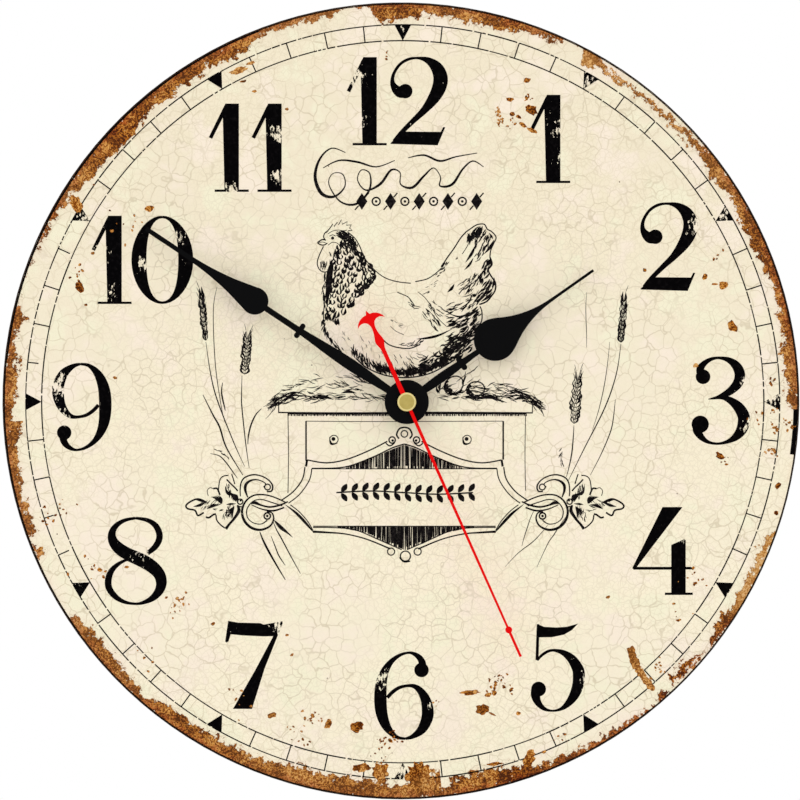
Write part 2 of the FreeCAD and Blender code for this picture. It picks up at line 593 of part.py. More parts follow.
def make_dial_print():
    sheet = rod(PRINT_RADIUS, BOARD_FRONT, PRINT_FRONT, BOARD_CENTRE)
    return sheet.cut(rod(ARBOR_HOLE_RADIUS, 0, 40))


# ---- hands, drawn pointing at twelve ----

HAND_HUB_RADIUS = 8.3
HOUR_COLLET_NECK, MINUTE_COLLET_NECK = 3.0, 2.1
HOUR_ARM = [(7.5, 1.45), (11.0, 1.65), (16.5, 1.78), (24.0, 1.45), (31.0, 1.05), (34.5, 1.02)]
HOUR_CROSSBAR = (25.2, 2.9, 1.1)
HOUR_SPADE = (40.6, 8.0)
HOUR_TAPER = [(42.4, 7.6), (44.7, 6.95), (47.0, 5.7), (50.8, 3.78), (54.6, 2.4), (58.3, 1.45)]
HOUR_TAPER += [(62.1, 0.86), (68.0, 0.58), (76.0, 0.52), (85.8, 0.5)]
MINUTE_ARM = [(7.5, 1.4), (15.0, 1.8), (23.5, 2.22), (32.0, 2.08), (38.5, 1.74)]
MINUTE_ARM += [(46.0, 1.3), (54.0, 1.12), (66.0, 1.1)]
MINUTE_CROSSBAR = (48.2, 3.1, 1.0)
MINUTE_SPADE = (68.5, 5.15)
MINUTE_TAPER = [(69.3, 4.98), (73.0, 4.18), (77.5, 3.12), (82.0, 2.28), (86.6, 1.65)]
MINUTE_TAPER += [(91.0, 1.22), (96.0, 0.98), (104.0, 0.88), (117.6, 0.84)]
SECOND_NEEDLE = [(1.0, 0.64), (92.4, 0.42)]
SECOND_DOT = (93.6, 1.3)
SECOND_TIP = [(94.0, 0.5), (104.6, 0.5)]
SECOND_TAIL = [(1.0, 0.95), (5.0, 0.9), (9.0, 0.82), (13.0, 0.78), (17.0, 0.77), (20.6, 0.78)]
SECOND_TAIL += [(22.6, 0.98), (23.8, 1.42), (25.0, 1.7)]
SECOND_NECK = [(25.0, 1.7), (26.2, 1.45), (27.6, 1.02), (29.2, 0.76), (30.8, 0.74), (32.6, 1.4)]
CRESCENT_HORN = (32.2, 5.6)
CRESCENT_SPIKE = 37.5


def blade(stations, back, front):
    """A flat blade along +Z, smooth through (height, half-width) stations, with straight ends."""
    right = [V(half, -back, z) for z, half in stations]
    left = [V(-p.x, p.y, p.z) for p in right]
    if len(stations) > 2:
        sides = []
        for points in (right, left):
            curve = Part.BSplineCurve()
            curve.interpolate(points)
            sides.append(curve.toShape())
    else:
        sides = [Part.makeLine(*points) for points in (right, left)]
    ends = [Part.makeLine(left[0], right[0]), Part.makeLine(left[-1], right[-1])]
    return prism(Part.Wire(Part.__sortEdges__(sides + ends)), back, front)


def crossbar(height, half_length, half_thickness, back, front):
    reach = half_length - half_thickness
    bar = slab(-reach, reach, height - half_thickness, height + half_thickness, back, front)
    ends = [rod(half_thickness, back, front, (x, height)) for x in (-reach, reach)]
    return fuse(bar, *ends)


def spade_hand(arm, bar, spade, taper, bore, back):
    """A spade hand pointing at twelve. spade is the height and the radius of its round part."""
    front = back + HAND_SHEET
    hub = rod(HAND_HUB_RADIUS, back, front)
    bulb = rod(spade[1], back, front, (0.0, spade[0]))
    solid = fuse(hub, blade(arm, back, front), crossbar(*bar, back, front), bulb, blade(taper, back, front))
    return solid.cut(rod(bore, back - 1, front + 1))


def crescent(back, front):
    """The two-horned counterweight with a spike, pointing up."""
    height, reach = CRESCENT_HORN
    neck, shoulder = 31.2, 0.66

    def at(x, z):
        return V(x, -back, z)

    edges = []
    for side in (1, -1):
        horn, crown = at(side * reach, height), at(side * 0.75, 35.9)
        inner = Part.Arc(at(side * shoulder, neck), at(side * 2.5, 33.35), horn)
        outer = Part.Arc(horn, at(side * 3.6, 35.05), crown)
        edges += [inner.toShape(), outer.toShape(), Part.makeLine(crown, at(0, CRESCENT_SPIKE))]
    edges.append(Part.makeLine(at(shoulder, neck), at(-shoulder, neck)))
    return prism(Part.Wire(Part.__sortEdges__(edges)), back, front)


def make_hour_hand():
    hand = spade_hand(HOUR_ARM, HOUR_CROSSBAR, HOUR_SPADE, HOUR_TAPER, HOUR_COLLET_NECK, HOUR_HAND_BACK)
    return turned(hand, HOUR_ANGLE)


def make_minute_hand():
    parts = MINUTE_ARM, MINUTE_CROSSBAR, MINUTE_SPADE, MINUTE_TAPER
    return turned(spade_hand(*parts, MINUTE_COLLET_NECK, MINUTE_HAND_BACK), MINUTE_ANGLE)


def make_second_hand():
    back, front = SECOND_HAND_BACK, SECOND_HAND_BACK + SECOND_SHEET
    hub = rod(2.6, back, front)
    needle = [blade(part, back, front) for part in (SECOND_NEEDLE, SECOND_TIP)]
    dot = rod(SECOND_DOT[1], back, front, (0.0, SECOND_DOT[0]))
    tail = fuse(blade(SECOND_TAIL, back, front), blade(SECOND_NECK, back, front), crescent(back, front))
    solid = fuse(hub, *needle, dot, turned(tail, 180))
    return turned(solid.cut(rod(0.9, 0, 40)), SECOND_ANGLE)


def collet(hand_back, bore, neck):
    """The bush riveted in a hand's hub, with its flange behind the hand."""
    flange = rod(neck + 0.8, hand_back - 0.5, hand_back)
    body = fuse(rod(neck, hand_back, hand_back + HAND_SHEET + 0.1), flange)
    return body.cut(rod(bore, 0, 40))


def make_second_hand_cap():
    """The brass hub of the second hand: a tube pressed on the arbor, under a round cap."""
    front = SECOND_HAND_BACK + SECOND_SHEET
    cap = rod(3.52, front, front + 1.0)
    rim = [e for e in cap.Edges if abs(e.CenterOfMass.y + front + 1.0) < 0.01 and len(e.Vertexes) == 1]
    cap = cap.makeChamfer(0.3, rim)
    stem = rod(0.9, SECOND_HAND_BACK - 0.6, front)
    return fuse(cap, stem).cut(rod(SECONDS_ARBOR_RADIUS, 0, front))


def all_parts():
    rubber_back = CASE_FRONT + HANGER_SHEET
    return {
        "dial_board": make_board(),
        "dial_print": make_dial_print(),
        "front_case": make_front_case(),
        "rear_cover": make_rear_cover(),
        "train_plate": make_train_plate(),
        "threaded_bush": make_threaded_bush(),
        "hanger_plate": make_hanger_plate(),
        "rubber_washer": tube(12.0, BUSH_RADIUS + 0.2, rubber_back, BOARD_BACK),
        "fixing_washer": tube(7.0, BUSH_RADIUS + 0.1, PRINT_FRONT, WASHER_FRONT),
        "fixing_nut": make_fixing_nut(),
        "stator": make_stator(),
        "coil_core": make_coil_core(),
        "coil_bobbin": make_coil_bobbin(),
        "coil_winding": make_coil_winding(),
        "motor_screws": make_motor_screws(),
        "circuit_board": make_circuit_board(),
        "quartz_crystal": make_quartz_crystal(),
        "chip_cover": make_chip_cover(),
        "positive_contact": make_positive_contact(),
        "negative_contact": make_negative_contact(),
        "battery_cell": make_battery_cell(),
        "battery_sleeve": make_battery_sleeve(),
        "rotor_magnet": make_rotor_magnet(),
        "rotor_pinion": make_rotor_pinion(),
        "intermediate_wheel": make_intermediate_wheel(),
        "seconds_wheel": make_seconds_wheel(),
        "seconds_arbor": rod(SECONDS_ARBOR_RADIUS, 4.6, SECOND_HAND_BACK + SECOND_SHEET),
        "third_wheel": make_third_wheel(),
        "centre_wheel": make_centre_wheel(),
        "clutch_washer": make_clutch_washer(),
        "minute_arbor": make_minute_arbor(),
        "minute_wheel": make_minute_wheel(),
        "hour_wheel": make_hour_wheel(),
        "setting_pinion": make_setting_pinion(),
        "setting_knob": make_setting_knob(),
        "hour_hand": make_hour_hand(),
        "hour_hand_collet": collet(HOUR_HAND_BACK, HOUR_TUBE_RADIUS, HOUR_COLLET_NECK),
        "minute_hand": make_minute_hand(),
        "minute_hand_collet": collet(MINUTE_HAND_BACK, MINUTE_TUBE_RADIUS, MINUTE_COLLET_NECK),
        "second_hand": make_second_hand(),
        "second_hand_cap": make_second_hand_cap(),
    }


def main():
    os.makedirs("parts", exist_ok=True)
    for name, shape in all_parts().items():
        if not shape.isValid() or shape.Volume <= 0:
            raise ValueError(f"{name} isn't a valid closed solid")
        shape.exportStep(f"parts/{name}.step")
        print(f"{name}: {len(shape.Solids)} solid(s), {shape.Volume:.1f} mm3")


main()
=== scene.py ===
"""Looks of the round wall clock: its printed, worn dial, and the surface of every part of the frame."""

import math
import random

import bpy
import mathutils.geometry
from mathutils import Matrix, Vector


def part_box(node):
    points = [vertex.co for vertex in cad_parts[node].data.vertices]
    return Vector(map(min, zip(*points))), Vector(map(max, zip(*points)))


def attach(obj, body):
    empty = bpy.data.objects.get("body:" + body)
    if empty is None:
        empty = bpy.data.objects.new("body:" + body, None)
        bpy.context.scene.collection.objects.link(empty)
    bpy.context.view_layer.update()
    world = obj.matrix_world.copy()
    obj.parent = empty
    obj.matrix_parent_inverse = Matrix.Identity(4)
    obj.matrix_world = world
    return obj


MM = 0.001
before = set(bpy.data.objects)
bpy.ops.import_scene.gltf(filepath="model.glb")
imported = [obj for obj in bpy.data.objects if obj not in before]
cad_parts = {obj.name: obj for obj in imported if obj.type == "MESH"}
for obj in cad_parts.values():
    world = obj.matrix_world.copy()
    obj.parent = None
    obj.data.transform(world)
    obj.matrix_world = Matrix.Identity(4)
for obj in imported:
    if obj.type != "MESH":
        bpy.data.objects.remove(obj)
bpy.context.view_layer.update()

# The dial faces -y and z is up. The hands' axis is at x = 0, z = 0; the sheet and the printing on it both
# sit a little off that, and the drawing is given from the printing's own centre.
# These four come from the frame, in metres. The sizes after them are in millimetres.
SHEET_LOW, SHEET_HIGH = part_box("dial_print")
SHEET_FRONT = SHEET_LOW[1]
CAP_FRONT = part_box("second_hand_cap")[0][1]

SHEET_CENTRE = ((SHEET_LOW[0] + SHEET_HIGH[0]) / 2 / MM, (SHEET_LOW[2] + SHEET_HIGH[2]) / 2 / MM)
SHEET_RADIUS = (SHEET_HIGH[0] - SHEET_LOW[0]) / 2 / MM
SHEET_SHIFT = (-0.7, 0.3)  # the sheet's centre, from the printing's centre
PRINT_CENTRE = (SHEET_CENTRE[0] - SHEET_SHIFT[0], SHEET_CENTRE[1] - SHEET_SHIFT[1])
INK_HEIGHT = 0.03
RUST_HEIGHT = 0.045
INK_ROOT = 0.01  # how far a stroke reaches into the sheet
LAYER = 0.002  # how much higher each part of the picture stands, so that no two tops share a plane
FINEST_LINE = 0.05
INSIDE = 1  # the choice of the triangulation that keeps only what lies inside the outlines
MERGE = 1e-4  # points nearer than this become one
LEAST_AREA = 1e-6
ROUND_CORNERS = 10  # of a small round shape, for each millimetre of its radius
ARC_STEP = 2

TRACK_INNER, TRACK_OUTER = 135.9, 141.9
TRACK_LINE = 0.46
TRACK_DASHES = (1.5, 3, 5, 8, 14, 22)
BROKEN_TICKS = 0.12  # the share of minute ticks that have lost their inner end
HOUR_MARK_HALF = 3.15  # half the width of the triangle at every hour
FIGURE_UNIT = 0.332  # a hundredth of a figure's height
SEED = 11

# The picture's sizes, in metres, and the lens in millimetres.
FLOOR = -0.19
FLOOR_SIDE, FLOOR_BACK = 0.6, 0.25
AIM = (-0.00254, 0.0, 0.00073)
CAMERA_AWAY = 2.532
LENS, SENSOR = 300.0, 36.0


# ---- colour and shader helpers ----


def srgb(red, green, blue):
    """A linear colour from 8-bit display values."""
    def channel(value):
        value = value / 255
        return value / 12.92 if value <= 0.04045 else ((value + 0.055) / 1.055) ** 2.4
    return channel(red), channel(green), channel(blue), 1.0


class Shader:
    """Builds one material's nodes. Its coordinates are in millimetres, in the object's own space."""

    def __init__(self, name, **principled):
        self.material = bpy.data.materials.new(name)
        self.material.use_nodes = True
        self.tree = self.material.node_tree
        self.tree.nodes.clear()
        output = self.tree.nodes.new("ShaderNodeOutputMaterial")
        self.surface = self.tree.nodes.new("ShaderNodeBsdfPrincipled")
        self.tree.links.new(self.surface.outputs[0], output.inputs["Surface"])
        self.set(**principled)
        coordinates = self.tree.nodes.new("ShaderNodeTexCoord").outputs["Object"]
        self.place = self.node("ShaderNodeVectorMath", {0: coordinates, "Scale": 1 / MM}, operation="SCALE")

    def put(self, socket, value):
        """Links a socket to another, or sets it to a value."""
        if isinstance(value, bpy.types.NodeSocket):
            self.tree.links.new(value, socket)
        else:
            socket.default_value = value

    def set(self, **values):
        """Sets sockets of the principled shader, with underscores for the spaces in their names."""
        for name, value in values.items():
            self.put(self.surface.inputs[name.replace("_", " ")], value)

    def node(self, kind, inputs, output=0, **settings):
        """Adds a node and gives back one of its outputs."""
        made = self.tree.nodes.new(kind)
        for name, value in settings.items():
            setattr(made, name, value)
        for name, value in inputs.items():
            self.put(made.inputs[name], value)
        return made.outputs[output]

    def math(self, operation, a, b=0.0, c=0.0):
        return self.node("ShaderNodeMath", {0: a, 1: b, 2: c}, operation=operation)

    def noise(self, scale, detail=3.0, roughness=0.55, vector=None, output="Fac"):
        inputs = {"Vector": vector or self.place, "Scale": scale, "Detail": detail, "Roughness": roughness}
        return self.node("ShaderNodeTexNoise", inputs, output)

    def cells(self, scale, vector=None, feature="DISTANCE_TO_EDGE"):
        inputs = {"Vector": vector or self.place, "Scale": scale}
        return self.node("ShaderNodeTexVoronoi", inputs, "Distance", feature=feature)

    def step(self, value, low, high):
        """0 below low, 1 above high, smooth between."""
        inputs = {"Value": value, "From Min": low, "From Max": high}
        return self.node("ShaderNodeMapRange", inputs, interpolation_type="SMOOTHSTEP")

    def fall(self, value, low, high):
        """1 below low, 0 above high, smooth between."""
        inputs = {"Value": value, "From Min": low, "From Max": high, "To Min": 1.0, "To Max": 0.0}
        return self.node("ShaderNodeMapRange", inputs, interpolation_type="SMOOTHSTEP")

    def mix(self, factor, a, b):
        """Colour a where the factor is 0, colour b where it is 1."""
        return self.node("ShaderNodeMix", {0: factor, 6: a, 7: b}, 2, data_type="RGBA")

    def blend(self, factor, a, b):
        """Number a where the factor is 0, number b where it is 1."""
        return self.node("ShaderNodeMix", {0: factor, 2: a, 3: b}, 0, data_type="FLOAT")

    def distance(self, point):
        return self.node("ShaderNodeVectorMath", {0: self.place, 1: point}, "Value", operation="DISTANCE")

    def stretched(self, factors, vector=None):
        """Coordinates multiplied axis by axis, which draws a pattern out along the small factors."""
        inputs = {0: vector or self.place, 1: factors}
        return self.node("ShaderNodeVectorMath", inputs, operation="MULTIPLY")

    def from_centre(self):
        """The x and z from the sheet's centre, and the distance from it."""
        split = self.node("ShaderNodeSeparateXYZ", {0: self.place}).node
        x = self.math("SUBTRACT", split.outputs["X"], SHEET_CENTRE[0])
        z = self.math("SUBTRACT", split.outputs["Z"], SHEET_CENTRE[1])
        radius = self.math("SQRT", self.math("ADD", self.math("MULTIPLY", x, x),
                                             self.math("MULTIPLY", z, z)))
        return x, z, radius

    def ramp(self, factor, stops):
        """A colour ramp from (position, colour) pairs."""
        output = self.node("ShaderNodeValToRGB", {"Fac": factor})
        elements = output.node.color_ramp.elements
        while len(elements) < len(stops):
            elements.new(0.5)
        for element, (position, colour) in zip(elements, stops):
            element.position = position
            element.color = colour
        return output

    def warped(self, scale, reach):
        """Coordinates pushed about by a noise, by up to about reach millimetres."""
        push = self.noise(scale, 2.0, output="Color")
        centred = self.node("ShaderNodeVectorMath", {0: push, 1: (0.5, 0.5, 0.5)}, operation="SUBTRACT")
        moved = self.node("ShaderNodeVectorMath", {0: centred, "Scale": 2 * reach}, operation="SCALE")
        return self.node("ShaderNodeVectorMath", {0: self.place, 1: moved}, operation="ADD")

    def bump(self, height, depth):
        """Bump from a 0 to 1 height that stands for depth millimetres."""
        normal = self.node("ShaderNodeBump", {"Height": height, "Distance": depth * MM, "Strength": 1.0})
        self.set(Normal=normal)


# ---- the printed sheet ----

CREAM = srgb(254, 244, 218)
CREAM_GREY = srgb(251, 241, 217)
CREAM_DULL = srgb(242, 229, 202)
CREAM_TOWARDS_TOP = srgb(233, 219, 190)
PINKISH = srgb(253, 238, 222)
GREENISH = srgb(247, 243, 214)
SPECK = srgb(96, 74, 52)
CRACK = srgb(208, 194, 166)
STAIN = srgb(204, 160, 124)
INK, INK_GREY = srgb(4, 3, 4), srgb(16, 14, 15)
DRAWING_INK, DRAWING_GREY = srgb(14, 12, 13), srgb(50, 45, 44)
RUST_LINE = srgb(72, 26, 2)
RUST_EDGE = srgb(92, 40, 8)
RUST = [
    (0.08, srgb(64, 22, 0)), (0.3, srgb(112, 50, 6)), (0.55, srgb(164, 90, 16)),
    (0.8, srgb(200, 130, 44)), (1.0, srgb(218, 160, 84)),
]
RED_RUST = [(0.1, srgb(70, 22, 0)), (0.5, srgb(134, 54, 8)), (0.9, srgb(182, 90, 28))]
PALE_RUST = [(0.1, srgb(170, 108, 44)), (0.6, srgb(208, 156, 88)), (1.0, srgb(224, 184, 130))]

# Places where the printing has worn off: x, z, radius and strength.
WORN = [
    (-20, 122, 10, 0.8), (-18, 106, 8, 0.7), (0, 108, 9, 0.3), (59, 103, 7, 0.7), (61, 92, 7, 0.8),
    (112, 66, 9, 1), (131, 5, 8, 1), (132, -9, 7, 0.9), (71, -107, 8, 0.9), (-131, 6, 10, 0.9),
    (-129, -5, 7, 0.7), (-9, -104, 9, 0.8), (11, -114, 6, 0.6), (-46, -84, 7, 0.9), (-98, -55, 10, 0.45),
    (-113, 56, 6, 0.7), (-111, 42, 7, 0.7), (-47, 101, 6, 0.9), (-47, 85, 5, 0.9), (106, -50, 8, 0.5),
    (70, 120.5, 6, 0.7), (120.5, 70, 6, 0.8), (139, 1, 6, 0.8), (0, -139, 6, 1), (-121, -69, 6, 0.4),
    (-120, 70, 6, 0.7), (-1, 139, 5, 0.5), (-64, 80, 5, 0.9), (-98, 52, 5, 0.9), (-84, 62, 5, 0.8),
]

# Rust along the rim, by the hour: how deep it reaches and where it starts, in millimetres, and how pale
# it is, from 0 to 1.
RIM_RUST = [
    (0, 5.6, 0, 0.1), (0.09, 5.2, 0, 0.1), (0.11, 2, 0, 0.1), (0.14, 4.4, 0, 0.2),
    (0.35, 4.6, 0, 0.2), (0.5, 5.4, 0, 0.1), (0.6, 3.4, 0, 0.1), (0.68, 1.8, 0, 0.2),
    (0.74, 3, 0.4, 0.2), (0.82, 0, 0, 0.3), (0.9, 0.4, 0, 0.5), (0.94, 6.2, 0, 0.6),
    (1, 4.6, 0.2, 0.5), (1.06, 4.2, 1.9, 0.4), (1.5, 4.4, 1.7, 0.4), (1.7, 4.2, 0.6, 0.3),
    (1.8, 5.6, 0.3, 0.3), (1.95, 4, 0.2, 0.2), (2.2, 5.4, 0, 0.1), (2.4, 3.6, 0, 0.1),
    (2.65, 3.8, 0, 0.1), (2.76, 5.2, 0, 0.2), (3.02, 4.2, 0.3, 0.2), (3.08, 0, 0, 0.3),
    (3.6, 0, 0, 0.9), (3.7, 3.4, 0.6, 1), (4.05, 3.2, 0.2, 0.8), (4.12, 5, 0.3, 0.1),
    (4.24, 3.4, 0.8, 0.1), (4.3, 0, 0.8, 0.1), (4.36, 2.4, 1, 0.1), (4.42, 5.2, 1.2, 0),
    (4.52, 4.6, 1.4, 0), (4.56, 0, 0.8, 0), (4.62, 3.4, 0.4, 0.1), (4.66, 0.2, 0, 0.1),
    (4.8, 2, 0, 0.1), (5.15, 2.6, 0, 0.1), (5.3, 3.4, 0, 0.1), (5.4, 5.2, 0, 0),
    (5.6, 7.6, 0, 0.1), (5.73, 6.4, 0, 0.1), (5.79, 2.4, 0, 0.2), (5.88, 9, 0, 0.2),
    (6, 4.4, 0, 0.2), (6.12, 6.4, 0, 0.2), (6.4, 6.2, 0, 0.2), (6.56, 7.2, 0, 0.2),
    (6.66, 4.8, 0, 0.2), (7, 5, 0, 0.1), (7.2, 5.8, 0, 0.1), (7.32, 4.2, 0, 0.1),
    (7.36, 1, 0, 0.2), (7.42, 4, 0, 0.2), (7.7, 5.2, 0, 0.2), (7.84, 3.8, 0, 0.3),
    (7.9, 0.4, 0, 0.3), (8.2, 0, 0.8, 0.2), (8.24, 4.8, 1, 0.2), (8.3, 0.4, 0.6, 0.2),
    (8.36, 3.6, 0.2, 0.3), (8.76, 3.8, 0, 0.2), (8.82, 6, 0, 0.2), (8.92, 3, 0, 0.2),
    (9.05, 5.2, 0.3, 0.2), (9.22, 4.6, 0.4, 0.2), (9.28, 2, 0.2, 0.2), (9.42, 4.6, 0.2, 0.2),
    (9.48, 0.2, 0.6, 0.2), (9.76, 1.2, 0.8, 0.2), (9.98, 3.2, 0.5, 0.1), (10.06, 3, 0.4, 0.3),
    (10.12, 6, 0, 0.2), (10.3, 6.6, 0, 0.1), (10.5, 8, 0, 0), (10.66, 5.6, 0, 0.1),
    (10.96, 5.8, 0, 0.1), (11, 3, 0, 0.2), (11.08, 6.2, 0, 0.1), (11.2, 5.8, 0, 0.1),
    (11.3, 2.6, 0, 0.2), (11.66, 2.6, 0, 0.4), (11.72, 0.2, 0, 0.3), (11.84, 0.4, 0, 0.2),
    (11.9, 7.4, 0, 0.1), (12, 5.6, 0, 0.1),
]
RIM_REACH = 12.0  # the length that a full channel stands for
# The rim's hours are shared out between colour ramps, because one ramp holds 32 stops at most.
RIM_STRETCHES = [(0, 2.9), (2.9, 5.8), (5.8, 8.9), (8.9, 12.1)]
FRAY = 13.0  # how far the noise can move the rust's inner edge, in millimetres from end to end
FOLD = 0.085  # the rise of the noise from one fold of the flakes to the next


def rust_colour(s, red=0.0, pale=0.0):
    """Flaky rust: worm-like golden flakes edged with dark brown, redder or paler where asked."""
    folds = s.math("PINGPONG", s.noise(0.42, 3.0, 0.62), FOLD)
    drift = s.step(s.noise(0.14, 2.0), 0.38, 0.62)
    shift = s.math("MULTIPLY", s.math("SUBTRACT", drift, 0.65), 0.45)
    tone = s.math("ADD", s.math("DIVIDE", folds, FOLD), shift)
    body = s.mix(s.math("MULTIPLY", red, 0.85), s.ramp(tone, RUST), s.ramp(tone, RED_RUST))
    scratches = s.noise(1.5, 2.0, 0.6, s.stretched((1.5, 1, 0.4), s.warped(0.08, 4.0)))
    body = s.mix(s.math("MULTIPLY", s.fall(scratches, 0.36, 0.44), 0.6), body, RUST_LINE)
    return s.mix(pale, body, s.ramp(tone, PALE_RUST))


def rim_stretch(s, turn, first, last):
    """The rim's envelope over one stretch of hours, as a colour of depth, start and paleness."""
    stops = [((hour - first) / (last - first), (reach / RIM_REACH, gap / RIM_REACH, pale, 1.0))
             for hour, reach, gap, pale in RIM_RUST if first <= hour < last]
    return s.ramp(s.math("MULTIPLY", s.math("SUBTRACT", turn, first / 12), 12 / (last - first)), stops)


def rim_rust(s):
    """Where the rim is rusty, how far inside the rust's inner edge, how red, how pale, and how far in from
    the sheet's edge."""
    x, z, radius = s.from_centre()
    turn = s.math("FRACT", s.math("DIVIDE", s.math("ARCTAN2", x, z), math.tau))
    colour = rim_stretch(s, turn, *RIM_STRETCHES[0])
    for first, last in RIM_STRETCHES[1:]:
        passed = s.math("GREATER_THAN", turn, first / 12)
        colour = s.mix(passed, colour, rim_stretch(s, turn, first, last))
    envelope = s.node("ShaderNodeSeparateColor", {0: colour}).node
    reach = s.math("MULTIPLY", envelope.outputs[0], RIM_REACH)
    gap = s.math("MULTIPLY", envelope.outputs[1], RIM_REACH)
    ragged = s.math("MULTIPLY", s.math("SUBTRACT", s.noise(0.3, 4.0, 0.72), 0.5), FRAY)
    depth = s.math("SUBTRACT", SHEET_RADIUS, radius)
    frayed = s.math("ADD", depth, ragged)
    within = s.math("SUBTRACT", reach, frayed)
    started = s.math("SUBTRACT", frayed, s.math("SUBTRACT", s.math("MULTIPLY", gap, 2.0), 1.6))
    rust = s.math("MULTIPLY", s.step(within, 0.0, 0.3), s.step(started, 0.0, 0.4))
    present = s.math("GREATER_THAN", reach, 0.3)
    holes = s.step(s.noise(0.7, 2.0, 0.5), 0.25, 0.28)
    rust = s.math("MULTIPLY", s.math("MULTIPLY", rust, present), holes)
    return rust, within, s.fall(frayed, 0.6, 2.8), envelope.outputs[2], depth


def paper_layers(s):
    """The sheet's colour, with its crackle, faint stains, specks and rusty rim, and the cracks alone."""
    broad = s.noise(0.018, 2.0)
    ground = s.mix(s.step(broad, 0.4, 0.62), CREAM, CREAM_GREY)
    ground = s.mix(s.math("MULTIPLY", s.step(s.noise(0.3, 3.0, 0.6), 0.35, 0.75), 0.22), ground, CREAM_DULL)
    _x, height, _radius = s.from_centre()
    # The sheet is made darker towards the top.
    ground = s.mix(s.math("MULTIPLY", s.step(height, -110.0, 120.0), 0.45), ground, CREAM_TOWARDS_TOP)
    tint = s.noise(0.07, 3.0, 0.6)
    ground = s.mix(s.math("MULTIPLY", s.step(tint, 0.5, 0.68), 0.7), ground, PINKISH)
    ground = s.mix(s.math("MULTIPLY", s.fall(tint, 0.34, 0.48), 0.7), ground, GREENISH)
    cracks = s.fall(s.cells(0.2, s.warped(0.16, 2.4)), 0.004, 0.062)
    cracks = s.math("MULTIPLY", cracks, s.blend(s.step(s.noise(0.05, 2.0), 0.36, 0.6), 0.22, 0.65))
    fine = s.fall(s.cells(0.5, s.warped(0.3, 1.1)), 0.004, 0.09)
    fine = s.math("MULTIPLY", fine, s.blend(s.step(broad, 0.44, 0.6), 0.3, 0.06))
    veins = s.math("MAXIMUM", cracks, fine)
    specks = s.fall(s.cells(0.1, feature="F1"), 0.02, 0.034)
    specks = s.math("MULTIPLY", specks, s.step(s.noise(0.045, 1.0), 0.52, 0.56))
    colour = s.mix(s.math("MULTIPLY", specks, 0.85), s.mix(veins, ground, CRACK), SPECK)
    rust, within, red, pale, depth = rim_rust(s)
    halo = s.math("MULTIPLY", s.step(within, -2.5, 0.4), s.math("GREATER_THAN", RIM_REACH, depth))
    colour = s.mix(s.math("MULTIPLY", halo, 0.12), colour, STAIN)
    edge = s.math("MULTIPLY", s.fall(within, 0.1, 0.9), 0.6)
    rim = s.mix(edge, rust_colour(s, red, pale), RUST_EDGE)
    return s.mix(rust, colour, rim), veins


def worn(s):
    """Where the ink has rubbed off, 0 to 1: ragged chips, mostly around the listed places."""
    places = 0.0
    for x, z, reach, amount in WORN:
        away = s.distance((PRINT_CENTRE[0] + x, SHEET_FRONT / MM, PRINT_CENTRE[1] + z))
        near = s.math("MULTIPLY", s.fall(away, 0.0, reach), amount)
        places = s.math("MAXIMUM", places, near)
    chips = s.noise(0.75, 4.0, 0.7, s.stretched((1.3, 1, 0.6)))
    return s.fall(s.math("SUBTRACT", chips, s.math("MULTIPLY", places, 0.3)), 0.265, 0.285)


def make_paper():
    s = Shader("printed_paper", Roughness=0.62, Specular_IOR_Level=0.1)
    colour, veins = paper_layers(s)
    s.set(Base_Color=colour)
    s.bump(s.math("SUBTRACT", s.noise(0.9, 2.0), s.math("MULTIPLY", veins, 0.8)), 0.02)
    return s.material


def make_ink(name, black, grey):
    """Printing ink, a little uneven, with the bare sheet showing where it has worn off."""
    s = Shader(name, Roughness=0.8, Specular_IOR_Level=0.02)
    paper, _veins = paper_layers(s)
    ink = s.mix(s.step(s.noise(0.7, 2.0), 0.45, 0.8), black, grey)
    s.set(Base_Color=s.mix(worn(s), ink, paper))
    return s.material


def make_rust_spots():
    s = Shader("rust_spots", Roughness=0.8, Specular_IOR_Level=0.05)
    s.set(Base_Color=rust_colour(s, 0.0, s.blend(s.step(s.noise(0.03), 0.5, 0.6), 0.05, 0.35)))
    return s.material


# ---- drawing with thin solids ----


def along_span(t, before, start, end, after):
    """Catmull-Rom between start and end, at t from 0 to 1."""
    square = (2 * before - 5 * start + 4 * end - after) * t * t
    cube = (3 * start - before - 3 * end + after) * t ** 3
    return 0.5 * (2 * start + (end - before) * t + square + cube)


def smooth(points, per_span=6, closed=False):
    """A Catmull-Rom curve through the points, which may carry a width as a third number."""
    count = len(points)
    if count < 3:
        return list(points)
    spans = count if closed else count - 1
    result = []
    for span in range(spans):
        if closed:
            a, b, c, d = (points[(span + k - 1) % count] for k in range(4))
        else:
            a, b, c, d = (points[min(max(span + k - 1, 0), count - 1)] for k in range(4))
        for k in range(per_span):
            result.append(tuple(along_span(k / per_span, *four) for four in zip(a, b, c, d)))
    if not closed:
        result.append(tuple(points[-1]))
    return result


